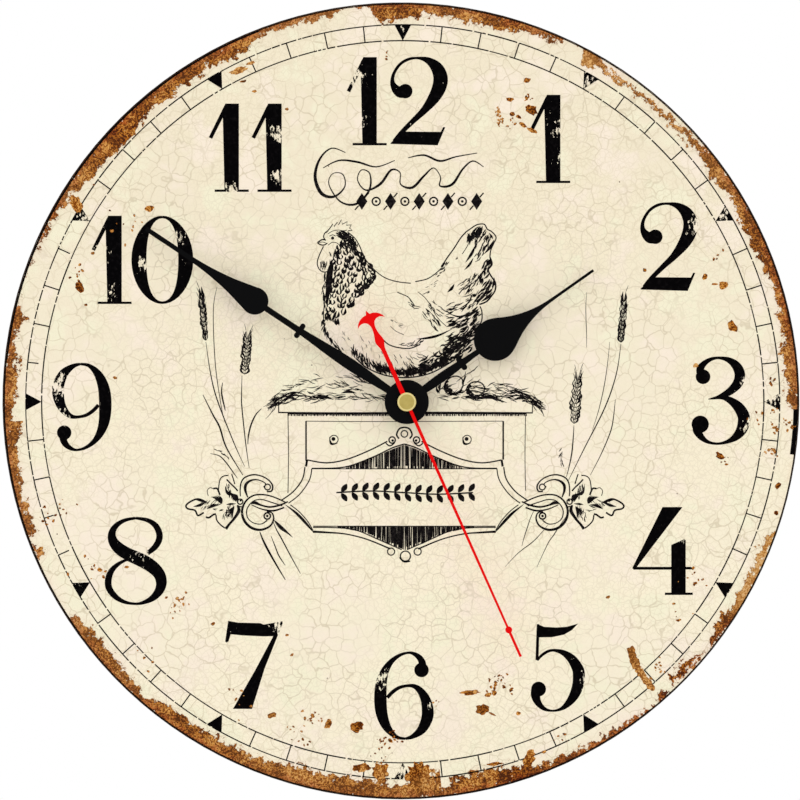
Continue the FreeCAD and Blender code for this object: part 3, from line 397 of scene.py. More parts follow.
class Drawing:
    """Collects flat strokes and blobs on the dial, and joins them into one thin closed solid."""

    def __init__(self):
        self.points, self.faces = [], []
        self.frame()

    def frame(self, scale=1.0, x=0.0, z=0.0, mirror=1, upright=1):
        """Places what is drawn next: scale, origin, and flips sideways and upside down."""
        self.scale, self.origin, self.flips = scale, (x, z), (mirror, upright)

    def placed(self, x, z):
        across, up = self.scale * self.flips[0], self.scale * self.flips[1]
        return (self.origin[0] + x * across, self.origin[1] + z * up)

    def face(self, corners):
        start = len(self.points)
        twice_area = sum(a[0] * b[1] - b[0] * a[1] for a, b in zip(corners, corners[1:] + corners[:1]))
        if abs(twice_area) > LEAST_AREA:
            self.points += corners if twice_area > 0 else corners[::-1]
            self.faces.append(list(range(start, start + len(corners))))

    def stroke(self, points, curved=True, per_span=6):
        """A line of changing width through (x, z, width) points."""
        line = smooth(points, per_span) if curved else list(points)
        line = [(*self.placed(x, z), max(width * self.scale, FINEST_LINE) / 2) for x, z, width in line]
        sides = []
        for i, (x, z, half) in enumerate(line):
            before, after = line[max(i - 1, 0)], line[min(i + 1, len(line) - 1)]
            dx, dz = after[0] - before[0], after[1] - before[1]
            length = math.hypot(dx, dz) or 1.0
            dx, dz = dx / length * half, dz / length * half
            sides.append(((x - dz, z + dx), (x + dz, z - dx)))
        for (left, right), (next_left, next_right) in zip(sides, sides[1:]):
            self.face([left, right, next_right, next_left])

    def blob(self, points, curved=True):
        """A filled outline of (x, z) points."""
        outline = smooth(points, 5, closed=True) if curved else points
        self.face([self.placed(x, z) for x, z in outline])

    def disc(self, x, z, radius):
        steps = max(12, int(radius * self.scale * ROUND_CORNERS))
        turns = [math.tau * k / steps for k in range(steps)]
        self.blob([(x + radius * math.cos(a), z + radius * math.sin(a)) for a in turns], curved=False)

    def ring(self, x, z, radius, width=0.4):
        steps = max(16, int(radius * ROUND_CORNERS))
        turns = [math.tau * k / steps for k in range(steps + 1)]
        circle = [(x + radius * math.cos(a), z + radius * math.sin(a), width) for a in turns]
        self.stroke(circle, curved=False)

    def line(self, *points, width=0.35, curved=True):
        self.stroke([(x, z, width) for x, z in points], curved)

    def lines(self, *rows):
        """Curved lines, each given as its width and then its points."""
        for width, *points in rows:
            self.line(*points, width=width)

    def taper(self, *points, width=0.5, tip=0.1, per_span=6):
        """A pen stroke that swells in the middle."""
        if len(points) == 2:
            (x0, z0), (x1, z1) = points
            points = (points[0], ((x0 + x1) / 2, (z0 + z1) / 2), points[1])
        last = len(points) - 1
        swelling = [(x, z, tip + (width - tip) * math.sin(math.pi * i / last))
                    for i, (x, z) in enumerate(points)]
        self.stroke(swelling, per_span=per_span)

    def tapers(self, *rows):
        """Tapering strokes, each given as its width and then its points."""
        for width, *points in rows:
            self.taper(*points, width=width)

    def piece(self, name, material, height=INK_HEIGHT):
        """One closed solid standing height above the sheet, over everything drawn."""
        points = [Vector(point) for point in self.points]
        union = mathutils.geometry.delaunay_2d_cdt(points, [], self.faces, INSIDE, MERGE, True)
        places, _edges, faces, _from_points, _from_edges, from_faces = union
        tops = [list(face) for face, sources in zip(faces, from_faces) if sources]
        used = sorted({i for face in tops for i in face})
        number = {i: k for k, i in enumerate(used)}
        count = len(used)
        vertices = []
        for y in (SHEET_FRONT - height * MM, SHEET_FRONT + INK_ROOT * MM):
            for i in used:
                x, z = places[i]
                vertices.append(((PRINT_CENTRE[0] + x) * MM, y, (PRINT_CENTRE[1] + z) * MM))
        tops = [[number[i] for i in face] for face in tops]
        edges = {(a, b) for face in tops for a, b in zip(face, face[1:] + face[:1])}
        walls = [[b, a, a + count, b + count] for a, b in edges if (b, a) not in edges]
        backs = [[i + count for i in reversed(face)] for face in tops]
        mesh = bpy.data.meshes.new(name)
        mesh.from_pydata(vertices, [], tops + backs + walls)
        mesh.materials.append(material)
        made = bpy.data.objects.new(name, mesh)
        bpy.context.scene.collection.objects.link(made)
        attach(made, "movement")
        return made


# ---- hour numbers: strokes of (x, z, width) in units of a hundredth of the figure height ----


def one(pen):
    pen.blob([(17.5, 2.2), (33.8, 2.2), (33.8, 100), (18.6, 100), (15.4, 93)], curved=False)
    pen.stroke([(19.5, 97, 4.6), (1.6, 61, 4.2)], curved=False)
    pen.stroke([(6.4, 1.3, 2.6), (45, 1.3, 2.6)], curved=False)


def two(pen):
    pen.disc(17.3, 61.4, 8.2)
    pen.stroke([(17.5, 58.5, 10), (11.5, 60.5, 13), (6.3, 64.2, 9.6), (2.8, 71.5, 5.2), (4.2, 81, 3.6),
                (11, 91.5, 3.3), (21, 97.6, 3.3), (32, 98.9, 3), (43, 96.2, 7.5), (52.5, 88.5, 13.5),
                (57.2, 77.5, 16.3), (55.8, 66, 16), (49.5, 53.5, 13.2), (38.5, 39.5, 8.2), (26, 27.5, 6),
                (13, 14.5, 5), (4.5, 4.5, 4.2)])
    pen.blob([(0.4, 2.4), (14.5, 15.6), (57.5, 15.2), (60.4, 20.8), (62.6, 20.4), (54, 0), (1, 1.6)],
             curved=False)


def three(pen):
    pen.disc(13.6, 77.4, 8.3)
    pen.stroke([(12.5, 80, 12), (10.6, 86.5, 9), (15.5, 93, 6.2), (23, 97.4, 4.2), (32, 98.8, 3.2),
                (43, 96.2, 6.5), (51.5, 89.4, 10.5), (55.3, 80, 12), (53, 70.2, 11.4), (45.5, 62, 9),
                (38, 57.2, 7), (30, 54, 4.2), (19.5, 52, 0.8)])
    pen.stroke([(30, 53.6, 3.2), (37.5, 53.6, 5.4), (46, 49.6, 8.6), (54, 42.6, 12), (59.2, 33.8, 13.6),
                (59.8, 26, 13.8), (57, 17, 12.2), (50.6, 9.2, 8.6), (42, 4.2, 4.6), (31, 1.6, 2.8),
                (20, 3.2, 3.8), (12, 8.6, 7), (7.4, 16, 10.4), (8.4, 20, 13)])
    pen.disc(10.4, 23.6, 9.8)


def four(pen):
    pen.blob([(34.6, 99.6), (57.2, 99.6), (5.8, 32.2), (2.2, 28.4), (0.2, 30.4)], curved=False)
    pen.stroke([(1.6, 30.2, 3.2), (44.6, 30.2, 3.2), (66, 30.4, 3), (70.2, 29.6, 1.6)], curved=False)
    pen.blob([(44.4, 2.2), (60.8, 2.2), (60.8, 64), (44.4, 56.6)], curved=False)
    pen.stroke([(37.2, 1.3, 2.7), (68.8, 1.3, 2.7)], curved=False)


def five(pen):
    pen.blob([(7, 99.6), (15, 96.4), (28.5, 95.6), (41, 96.4), (53.6, 100), (46.5, 92.6),
              (37.5, 87.4), (24, 84.6), (9, 84.4)], curved=False)
    pen.stroke([(8.2, 99.4, 3), (7.6, 78, 3.3), (7, 58.6, 3.4)], curved=False)
    pen.stroke([(7.2, 58.4, 2.6), (12.5, 64.2, 3.2), (20, 68.8, 3.2), (27.5, 69.6, 3.4),
                (37.5, 66.6, 6.6), (46.5, 59.6, 10.4), (52.6, 50, 12.8), (54.4, 43, 13.6),
                (53.6, 31.4, 13), (49.4, 19.4, 11.2), (42, 9.2, 7.4), (33.6, 3, 3.8), (24, 1.2, 2.4),
                (15, 3.6, 4.6), (8.2, 10.4, 7.6), (5.4, 18.4, 10.4), (5.6, 25, 10.6)])
    pen.disc(8.8, 25.8, 8.4)


def six(pen):
    pen.disc(53.8, 79, 8.2)
    pen.stroke([(54, 82, 12), (54.4, 87.6, 8.2), (51.2, 93.2, 6.6), (45.5, 97.2, 4.4), (39.2, 98.6, 2.8),
                (30, 96.2, 3.6), (20.5, 89.6, 5.6), (13.2, 79.6, 8.8), (8.6, 66.4, 12.2), (7.2, 50.6, 14),
                (8, 33.6, 13.6), (11.6, 20.2, 11.4), (17.6, 10, 8), (26, 2.9, 4.2), (35.5, 1.2, 2.8)])
    pen.stroke([(35.5, 1.2, 2.8), (44, 3.8, 5.4), (54, 11.6, 10.2), (59.8, 23.4, 13), (60.8, 33.6, 13.4),
                (58.4, 45.4, 11.2), (53, 54.8, 8.2), (46, 60.4, 5.2), (38, 61.2, 3.4), (28.5, 59, 3.9),
                (20.5, 53.6, 4.2), (15, 47.6, 4)])


def seven(pen):
    pen.blob([(3.6, 99.8), (15, 97.8), (40, 97.2), (44, 95.6), (66.4, 99.6), (58, 80), (54.6, 82.4),
              (43, 82.2), (21, 83.2), (6.4, 84.6), (4, 76.6), (1.6, 75.2), (0.2, 76.6)], curved=False)
    pen.blob([(66.4, 99.6), (45, 46), (30.6, 0), (9, 0), (34, 43.5), (54.8, 82.6)], curved=False)


def eight(pen):
    pen.stroke([(35, 98.6, 3), (48.5, 96, 4.8), (57.4, 90, 6.6), (61.6, 81.4, 7.3), (61.2, 73.4, 7.3),
                (56.6, 65.6, 6.6), (48.4, 58.6, 4.8)])
    pen.stroke([(35, 98.6, 3), (22.5, 96, 4.2), (12.8, 90, 6), (8, 81.4, 8.4), (9.4, 72.2, 11),
                (16.2, 64, 13.4), (26.6, 57.4, 14.4), (39.2, 51.8, 15.2), (51.6, 44.8, 14.8),
                (60.8, 36, 13.4), (64, 26.4, 12.4), (61.8, 16.8, 10.4), (54.2, 8, 7.2), (43.6, 2.8, 4.2),
                (34, 1.4, 2.9), (21.8, 3.6, 4.2), (11.4, 10, 6.4), (4.6, 19.4, 7.6), (4, 29.4, 7.6),
                (7.4, 38.6, 6.4), (13.6, 45.2, 4.8), (21.6, 50, 3.2), (28, 51.6, 2.4)])


def zero(pen):
    steps, half_width, half_height = 40, 26.6, 48.6
    ring = []
    for k in range(steps + 1):
        a = math.tau * k / steps
        side = math.sin(a) ** 2
        ring.append((35 + half_width * math.sin(a), 50 + half_height * math.cos(a), 2.8 + 14.2 * side))
    pen.stroke(ring, curved=False)


# Each hour's figures with their left edges, and the baseline, in millimetres.
HOURS = [
    (((one, 48.1),), 82.3), (((two, 89.3),), 41.7), (((three, 108.5),), -16.3), (((four, 86.3),), -72.7),
    (((five, 48.2),), -116.7), (((seven, -66.9),), -115.6), (((eight, -112.1),), -76.5),
    (((one, -117), (zero, -102.1)), 36.8), (((one, -72.9), (one, -56.8)), 79),
    (((one, -21), (two, -4.8)), 96.5),
]
SIX_PLACE = (-10.8, -127.2)
NINE_PLACE = (-132, -18.6)  # a nine is a six turned half round
SIX_WIDTH, FIGURE_HEIGHT = 67.6, 100


def draw_figures(pen):
    for figures, baseline in HOURS:
        for figure, left in figures:
            pen.frame(FIGURE_UNIT, left, baseline)
            figure(pen)
    pen.frame(FIGURE_UNIT, *SIX_PLACE)
    six(pen)
    right, top = NINE_PLACE[0] + SIX_WIDTH * FIGURE_UNIT, NINE_PLACE[1] + FIGURE_HEIGHT * FIGURE_UNIT
    pen.frame(FIGURE_UNIT, right, top, -1, -1)
    six(pen)
    pen.frame()


def draw_arc(pen, radius, start, end, width, centre=(0, 0)):
    steps = max(2, round((end - start) * radius / ARC_STEP))
    turns = [start + (end - start) * k / steps for k in range(steps + 1)]
    x, z = centre
    pen.stroke([(x + radius * math.sin(a), z + radius * math.cos(a), width) for a in turns], curved=False)


def draw_track(pen, seeded):
    """Two rings, a tick for every minute and a triangle for every hour, with worn gaps."""
    for radius in (TRACK_INNER, TRACK_OUTER):
        a = 0.0
        while a < math.tau:
            reach = seeded.choice(TRACK_DASHES) * seeded.uniform(0.7, 1.3) / radius
            draw_arc(pen, radius, a, min(a + reach, math.tau), TRACK_LINE * seeded.uniform(0.85, 1.1))
            a += reach + seeded.uniform(0.25, 0.8) / radius
    for minute in range(60):
        a = math.tau * minute / 60
        if minute % 5:
            low, high = TRACK_INNER, TRACK_OUTER
            if seeded.random() < BROKEN_TICKS:
                low += seeded.uniform(1, 3)
            pen.line((low * math.sin(a), low * math.cos(a)), (high * math.sin(a), high * math.cos(a)),
                     width=TRACK_LINE)
            continue
        half = HOUR_MARK_HALF / TRACK_OUTER
        corners = ((TRACK_OUTER, a - half), (TRACK_OUTER, a + half), (TRACK_INNER, a))
        pen.blob([(radius * math.sin(turn), radius * math.cos(turn)) for radius, turn in corners],
                 curved=False)


# The black line round the very edge: from this hour to that, its width. The margin keeps it on the sheet.
EDGE_MARGIN = 0.02
EDGE_LINE = [
    (0, 3.04, 0.3), (3.04, 3.26, 1.7), (3.26, 4.7, 0.22), (4.7, 7.8, 0.3), (7.8, 9.2, 0.45),
    (9.2, 11.3, 0.65), (11.3, 12, 0.35),
]


def draw_edge_line(pen):
    for first, last, width in EDGE_LINE:
        start, end = (math.tau * hour / 12 for hour in (first, last))
        draw_arc(pen, SHEET_RADIUS - width / 2 - EDGE_MARGIN, start, end, width, SHEET_SHIFT)


# ---- rust spots away from the rim ----

SPOT_POINTS = 3.2  # for each millimetre of a spot's length
SPOT_REACH = 0.65  # a little over the farthest that a spot's edge gets from its middle, for a length of 1

# Each spot: x, z, length, width and tilt, in millimetres and radians.
SPOTS = [
    (46.9, 121, 3, 1.8, 0), (40.2, 113.7, 3, 1.7, 0), (48.3, 109.8, 5, 3.8, -0.5),
    (41.3, 108.3, 2.2, 1.8, 0.3), (43.7, 107.2, 2.8, 1.3, -0.6), (45.2, 104.2, 3.8, 1.6, -0.5),
    (48.6, 102.1, 4.2, 1.7, -0.5), (36, 109.2, 1.4, 1.3, 0.5), (91, 49.6, 1.6, 1.4, 0),
    (113.7, 46.9, 2.6, 2, 1.3), (120.5, 43.7, 3.6, 3.2, 0.2), (117.3, 44.2, 2.8, 0.8, 0),
    (123.9, 28.5, 5.2, 3.2, -1.1), (110.2, 13.6, 2.2, 1.8, 0.4), (119.4, -20.4, 3.6, 2.4, -0.7),
    (145.4, -23.8, 3, 2.2, 1.2), (141.2, -31.6, 3.2, 1.8, 0.9), (144.3, -33, 3.6, 1.4, 1.1),
    (140.5, -41.9, 1.8, 1.7, 0), (142.9, -39.8, 1.2, 1.1, 0), (110, -68.4, 1.8, 1.2, 0.4),
    (77.2, -73.5, 1.8, 1.2, 0.3), (25.3, -109.4, 7.6, 2, 0.05), (32.2, -110.4, 2.8, 1.6, 0.3),
    (34.6, -109.6, 2, 1.8, 0.7), (30, -115.7, 5.6, 4, 0.1), (33.6, -117.5, 3.4, 0.7, -0.4),
    (43.5, -117.3, 2, 1.6, 0.8), (38.2, -107.4, 1.4, 1.2, 0), (-28.1, -121.3, 4.6, 2.6, 1.1),
    (-17.3, -122.3, 5.4, 4.2, 0.6), (-4.6, -127.6, 2.2, 1.2, -0.8), (-15.2, -137.6, 7, 3.4, 0.1),
    (-8.4, -139.4, 7.4, 6.2, 1.4), (5.9, -141.2, 11.4, 9.4, 1.4), (24, -142.2, 12, 7, 0.3),
    (34.4, -136.4, 6, 1.4, 0.1), (47.6, -134.2, 6.4, 4.2, 1.1), (56, -135.4, 6, 1.8, 0.5),
    (53.2, -131.8, 2, 1.2, 0.5), (-49.2, -117.9, 3.6, 2.2, 0.3), (-71.4, -83.6, 1.8, 1.2, 0.3),
    (-43.6, -87.8, 1.4, 1, 0), (-41.7, -95.3, 1.6, 1, 0.6), (-103.8, -62.2, 2, 1, 0.1),
    (-114, -63.3, 2.4, 1.6, -0.4), (-136.2, -55.4, 2.2, 1.6, 0.9), (-108.3, 9, 1.6, 1.2, 0),
    (-95.4, 72.7, 3.4, 2.4, 0.3), (-116.6, 56, 1.6, 1.2, 0), (-121.8, 43.2, 4.4, 3, 2.1),
    (-119.2, 36.4, 1.4, 1, 0), (-109.4, 64.3, 1.6, 1.2, 0), (-43.6, 110.2, 1.4, 1.2, 0),
    (-123, 74.7, 8, 4, -1), (86.2, -94.4, 5.4, 3.4, -1.35), (87.4, -98.4, 6.4, 4.2, -1.2),
    (89.4, -101.8, 5.6, 3.2, -0.95), (91.6, -104.8, 5.2, 2.8, -0.9), (93.2, -107.1, 3.8, 3, -0.9),
    (-61.8, 124.6, 7, 2.4, 0.3), (-57.2, 127.4, 3.6, 1.2, 0.3), (-60, 120.6, 2.6, 1, 0.2),
    (-72.4, 127.4, 4.4, 1.8, 1.3), (-55.8, 116.8, 1.8, 1.2, 0),
]
# Where loose crumbs lie: x, z, how far they spread, and how many.
CRUMBS = [
    (36.6, 105.4, 2.4, 14), (40.6, 105.6, 2, 9), (46.6, 114.4, 1.4, 8), (36, 109, 1.8, 7),
    (33.6, -106.8, 2.6, 14), (36.4, -104.2, 2, 9), (40, -107.8, 2.2, 9), (-33.3, -118.8, 2.6, 16),
    (-4.5, -127, 4, 20), (12.8, -113, 1.6, 4), (-35.8, -128.5, 1.6, 4), (-8.6, -134.6, 4, 12),
    (138.4, 7.6, 1.6, 8), (139.2, -4, 1.6, 5), (140, -10, 2, 10), (145.4, -8.6, 2.4, 14),
    (138, -19, 3, 12), (133, -5, 4, 6), (120.6, -21.6, 2.4, 6), (-122, 49, 5, 10),
    (-102, 68, 6, 9), (-84.6, -75.7, 4, 26), (-60, -112, 5, 8), (96, -100, 4, 12),
    (109, -66, 5, 10), (-40, -124, 6, 10), (-126, -40, 5, 7), (-133, -44, 5, 12),
    (-118, -62, 6, 10), (120, 56, 6, 4), (-116, 84, 5, 6), (60, -126, 4, 5),
    (104, -82, 5, 7), (-96, -96, 5, 6), (-6, 131, 2, 4),
]


def tilted(x, z, along, across, tilt):
    """The point that lies along and across a tilted line from (x, z)."""
    return (x + along * math.cos(tilt) - across * math.sin(tilt),
            z + along * math.sin(tilt) + across * math.cos(tilt))


def draw_spot(pen, seeded, x, z, length, width, tilt):
    """A ragged oval patch, left out if it would hang over the sheet's edge."""
    if math.hypot(x - SHEET_SHIFT[0], z - SHEET_SHIFT[1]) + length * SPOT_REACH > SHEET_RADIUS:
        return
    count = max(9, round(length * SPOT_POINTS))
    outline = []
    for k in range(count):
        a = math.tau * k / count
        ragged = seeded.uniform(0.72, 1.18)
        along, across = length / 2 * ragged * math.cos(a), width / 2 * ragged * math.sin(a)
        outline.append(tilted(x, z, along, across, tilt))
    pen.blob(outline, curved=False)


def draw_spots(pen, seeded):
    for spot in SPOTS:
        draw_spot(pen, seeded, *spot)
    for x, z, spread, count in CRUMBS:
        for _ in range(count):
            size = seeded.uniform(0.3, 1)
            place = seeded.gauss(x, spread / 2), seeded.gauss(z, spread / 2)
            draw_spot(pen, seeded, *place, size * 1.5, size, seeded.uniform(0, math.pi))


# ---- the farmyard drawing, in millimetres from the printing's centre ----


def dashes(pen, seeded, path, count, length, width, spread=0, lean=0):
    """Short tapering strokes scattered up to spread from a path. Each runs along it, turned by lean."""
    line = smooth(path, 8)
    for _ in range(count):
        i = seeded.randrange(len(line) - 1)
        (x, z), (next_x, next_z) = line[i], line[i + 1]
        along = math.atan2(next_z - z, next_x - x)
        away = seeded.uniform(-spread, spread)
        x, z = tilted(x, z, 0, away, along)
        turn = along + lean + seeded.uniform(-0.28, 0.28)
        reach = length * seeded.uniform(0.55, 1.2)
        bow = reach * seeded.uniform(-0.12, 0.12)
        middle, end = tilted(x, z, reach / 2, bow, turn), tilted(x, z, reach, 0, turn)
        pen.taper((x, z), middle, end, width=width * seeded.uniform(0.6, 1.15), per_span=3)


def all_dashes(pen, seeded, *rows):
    """Dashes along several paths. Each row is a path with its count, length, width, spread and lean."""
    for row in rows:
        dashes(pen, seeded, *row)


def hatching(pen, seeded, top, bottom, count, width):
    """Upright strokes between two outlines, each given as points from left to right."""
    def height(outline, x):
        for (x0, z0), (x1, z1) in zip(outline, outline[1:]):
            if x0 <= x <= x1:
                return z0 + (z1 - z0) * (x - x0) / (x1 - x0)
        return outline[-1][1]
    start, end = top[0][0], top[-1][0]
    for k in range(count):
        x = start + (end - start) * (k + seeded.uniform(0.2, 0.8)) / count
        high, low = height(top, x), height(bottom, x)
        if high - low > 0.25:
            low += (high - low) * seeded.choice((0, 0, 0, 0, 0.12))
            foot = (x + seeded.uniform(-0.15, 0.15), low)
            pen.line((x, high), foot, width=width * seeded.uniform(0.5, 1.2))


def draw_head(pen, seeded):
    pen.lines(
        (0.5, (-32.1, 59.9), (-30.4, 61), (-28.9, 60.8)),
        (0.45, (-32.1, 59.8), (-30.9, 59.1), (-29.6, 59), (-28.4, 59.7)),
        (0.25, (-31.9, 59.9), (-30.2, 60.1), (-29, 59.8)),
        (0.42, (-29.3, 61), (-29.8, 62.2), (-29.2, 63.6), (-28.1, 64.3)),
    )
    pen.line((-28.9, 63.6), (-27.5, 65.2), (-26.3, 66.9), (-25.9, 65.9), (-24.6, 67.6), (-24.2, 66.5),
             (-23.1, 68.5), (-22.7, 66.8), (-20.9, 67.8), (-21.1, 66.4), (-19.4, 66.6), (-20, 65.3),
             (-19, 64.5), (-20.6, 64.3), width=0.38, curved=False)
    pen.line((-28.1, 63.2), (-26.5, 64.2), (-24.4, 64.6), (-22.4, 64.4), (-20.9, 64.6), width=0.25)
    pen.disc(-26.4, 61.6, 0.62)
    pen.lines(
        (0.3, (-27.6, 62.3), (-26.4, 62.8), (-25.2, 62.3)),
        (0.25, (-28.1, 58.9), (-26.5, 60), (-24.5, 59.6), (-23.6, 58.3)),
        (0.4, (-29.8, 58.5), (-31, 56.1), (-32, 53.4), (-32.1, 51.4), (-31.1, 49.5), (-29.5, 48.8),
         (-28, 49.3), (-27.2, 50.8), (-27.4, 52.8)),
    )
    all_dashes(pen, seeded,
        ([(-31.4, 52.6), (-29.6, 52.9), (-28, 52.4)], 16, 3, 0.3, 0.3, -1.6),
        ([(-25, 63.8), (-21.5, 62), (-18.6, 58.6)], 46, 1.5, 0.42, 1.4, 0.15),
        ([(-28, 57.6), (-27.4, 55.6), (-27, 53.4)], 8, 1.6, 0.22, 0.5),
    )


def feather(pen, seeded, x, z, turn, length, wide):
    """A dark pointed feather with a pale middle, hanging from (x, z)."""
    reach, across = (length * math.cos(turn), length * math.sin(turn)), (-math.sin(turn), math.cos(turn))
    tip = (x + reach[0], z + reach[1])
    for side in (-1, 1):
        out = side * wide * seeded.uniform(0.4, 0.65)
        root = (x + across[0] * out * 0.6, z + across[1] * out * 0.6)
        middle = (x + reach[0] * 0.55 + across[0] * out, z + reach[1] * 0.55 + across[1] * out)
        pen.taper(root, middle, tip, width=seeded.uniform(0.5, 1.05), tip=0.15)
    if seeded.random() < 0.35:
        pen.taper((x + reach[0] * 0.3, z + reach[1] * 0.3), tip, width=wide * 0.8)


def draw_hackle(pen, seeded):
    """The dark pointed feathers of neck and breast, in rows that fan out downwards."""
    rows = [
        [(-25.2, 57.6), (-25.6, 53), (-27, 47), (-27.8, 41), (-28.2, 33)],
        [(-24.2, 60), (-23.6, 54), (-25, 47), (-26, 40), (-26.4, 32)],
        [(-22.6, 61), (-21.4, 54), (-22.8, 47), (-23.8, 40), (-24.4, 31)],
        [(-21, 61), (-19.2, 54), (-20.2, 47), (-21.2, 40), (-22.4, 34.5)],
        [(-19.4, 60.4), (-17, 54), (-17.4, 47.4), (-18.2, 41), (-19.6, 37)],
        [(-18, 58.4), (-15.2, 53), (-14.4, 48), (-15, 44), (-16.4, 41)],
        [(-16.4, 56.2), (-13.2, 51.6), (-11.6, 47.6), (-12.2, 45.6), (-13.4, 44)],
    ]
    for row, path in enumerate(rows):
        line = smooth(path, 10)
        for i in range(row % 2 * 2, len(line) - 1, 3):
            (x, z), (next_x, next_z) = line[i], line[i + 1]
            turn = math.atan2(next_z - z, next_x - x) + seeded.uniform(-0.45, 0.45)
            feather(pen, seeded, x + seeded.uniform(-0.5, 0.5), z, turn, seeded.uniform(1.8, 2.9), 1.3)
    dashes(pen, seeded, [(-24.2, 63.4), (-20.6, 62.4), (-17.6, 58.6)], 60, 1.6, 0.75, 1.2, -0.6)
    dashes(pen, seeded, [(-22.8, 62.4), (-20.4, 60.4), (-18.4, 57.4)], 40, 1.7, 0.8, 1.6)
    pen.stroke([(-26.6, 53, 0.4), (-27.2, 50, 2), (-27.7, 46.6, 2.4), (-28, 42.6, 2),
                (-28.4, 38.6, 1), (-28.4, 35.6, 0.4)])
    dashes(pen, seeded, [(-29.2, 48.8), (-29.8, 42), (-29.6, 36)], 22, 2.4, 0.45, 0.3)
    dashes(pen, seeded, [(-29.6, 34.6), (-28, 33), (-24, 30.5)], 16, 2, 0.8, 0.9, -0.7)


def draw_body(pen, seeded):
    pen.lines(
        (0.4, (-20.8, 64), (-18, 61.5), (-16.2, 58.5), (-15, 55.5), (-13.7, 53.1), (-10.8, 49.7)),
        (0.38, (-10.8, 49.7), (-7.8, 47.3), (-4.8, 45.9), (-1, 45), (3, 44.6)),
        (0.4, (4.7, 45.2), (8.8, 46.1), (11.9, 47.9), (14.6, 50.3)),
        (0.48, (14.6, 50.6), (16.4, 53.7), (19.4, 57.9), (21.7, 61.5), (23.8, 63.9)),
        (0.4, (-28.6, 42.7), (-29.5, 36.8), (-29.8, 31.5), (-29.2, 27), (-27.2, 23.1), (-24.1, 19.9)),
    )
    dashes(pen, seeded, [(-29.6, 31), (-29, 27), (-26.8, 23.2), (-22.6, 19.4)], 40, 2.2, 0.5, 0.6,
           -0.4)
    pen.line((-17.6, 16.3), (-13.8, 13), (-7.8, 10.3), (-1.8, 9.2), (4.2, 9.3), (10.3, 10.7),
             (15.5, 13.3), (19.6, 15.9), width=0.5)
    all_dashes(pen, seeded,
        ([(-19, 18), (-13.5, 13.6), (-7, 10.8)], 60, 3.2, 0.55, 0.8, 2.4),
        ([(-8, 11), (-1, 9.9), (6, 10.4), (13, 12.6), (19, 16.4)], 110, 3.6, 0.6, 0.9, 2.1),
        ([(-8, 11.4), (2, 10.2), (9, 11.6), (16, 14.8)], 80, 2.8, 0.9, 1.2, 0.5),
        ([(6, 12.5), (16, 16.4), (24, 20.5)], 90, 3, 0.8, 2.4, 0.3),
        ([(14, 19.4), (20, 22), (27.6, 25.4)], 60, 3.2, 0.75, 1.8, 0.2),
        ([(-4, 17.6), (2, 16.4), (8, 17.8)], 20, 2.4, 0.3, 1.6, -0.9),
        ([(-23, 26), (-15, 22), (-9, 17)], 14, 1.8, 0.24, 3, -0.7),
    )
    for k in range(7):
        x, z = 11.6 + 2.1 * k, 17.4 + 1.15 * k + seeded.uniform(-0.8, 0.8)
        pen.taper((x, z + 1.4), (x + 0.4, z), (x + 2.2, z - 0.2), (x + 3.6, z + 1), width=0.75)


def draw_wing(pen, seeded):
    pen.lines(
        (0.34, (-2.1, 41.2), (-0.1, 40.4), (2, 39.4), (3.6, 37.4), (4.5, 36)),
        (0.26, (5.9, 41.2), (8.4, 39.1), (10.3, 36.5), (12.2, 33), (14, 30.6), (16.3, 28.5)),
        (0.45, (-7.8, 23.8), (-5.4, 21.6), (-1.8, 20.4), (2.7, 20.1), (6.6, 21.6)),
    )
    pen.taper((5.2, 23.6), (8, 23.8), (11.5, 24.4), (14.5, 25.4), (18.6, 27.4), width=0.95)
    pen.line((-4.6, 28.4), (-2.6, 26.6), (0.4, 25.2), width=0.22)
    all_dashes(pen, seeded,
        ([(2.2, 38.2), (3.2, 36.4), (4.6, 35.4)], 10, 2, 0.4, 0.8, 0.4),
        ([(-2, 21.4), (3, 20.9), (7, 22.4)], 18, 2.4, 0.32, 0.7, 0.3),
        ([(7.8, 34.4), (10.6, 31.6), (13.6, 28.4)], 26, 2.6, 0.4, 1.7, -0.2),
        ([(10.2, 37.6), (12.6, 34.8), (16.6, 32)], 20, 2.2, 0.35, 1.5, 0.1),
        ([(7, 41.6), (9.6, 42.6), (12.6, 44.6)], 9, 1.6, 0.3, 1.4, 0.1),
        ([(-4.6, 30.8), (-3.2, 29.2), (-1.4, 28.2)], 6, 1.6, 0.22, 0.9, 0.2),
    )


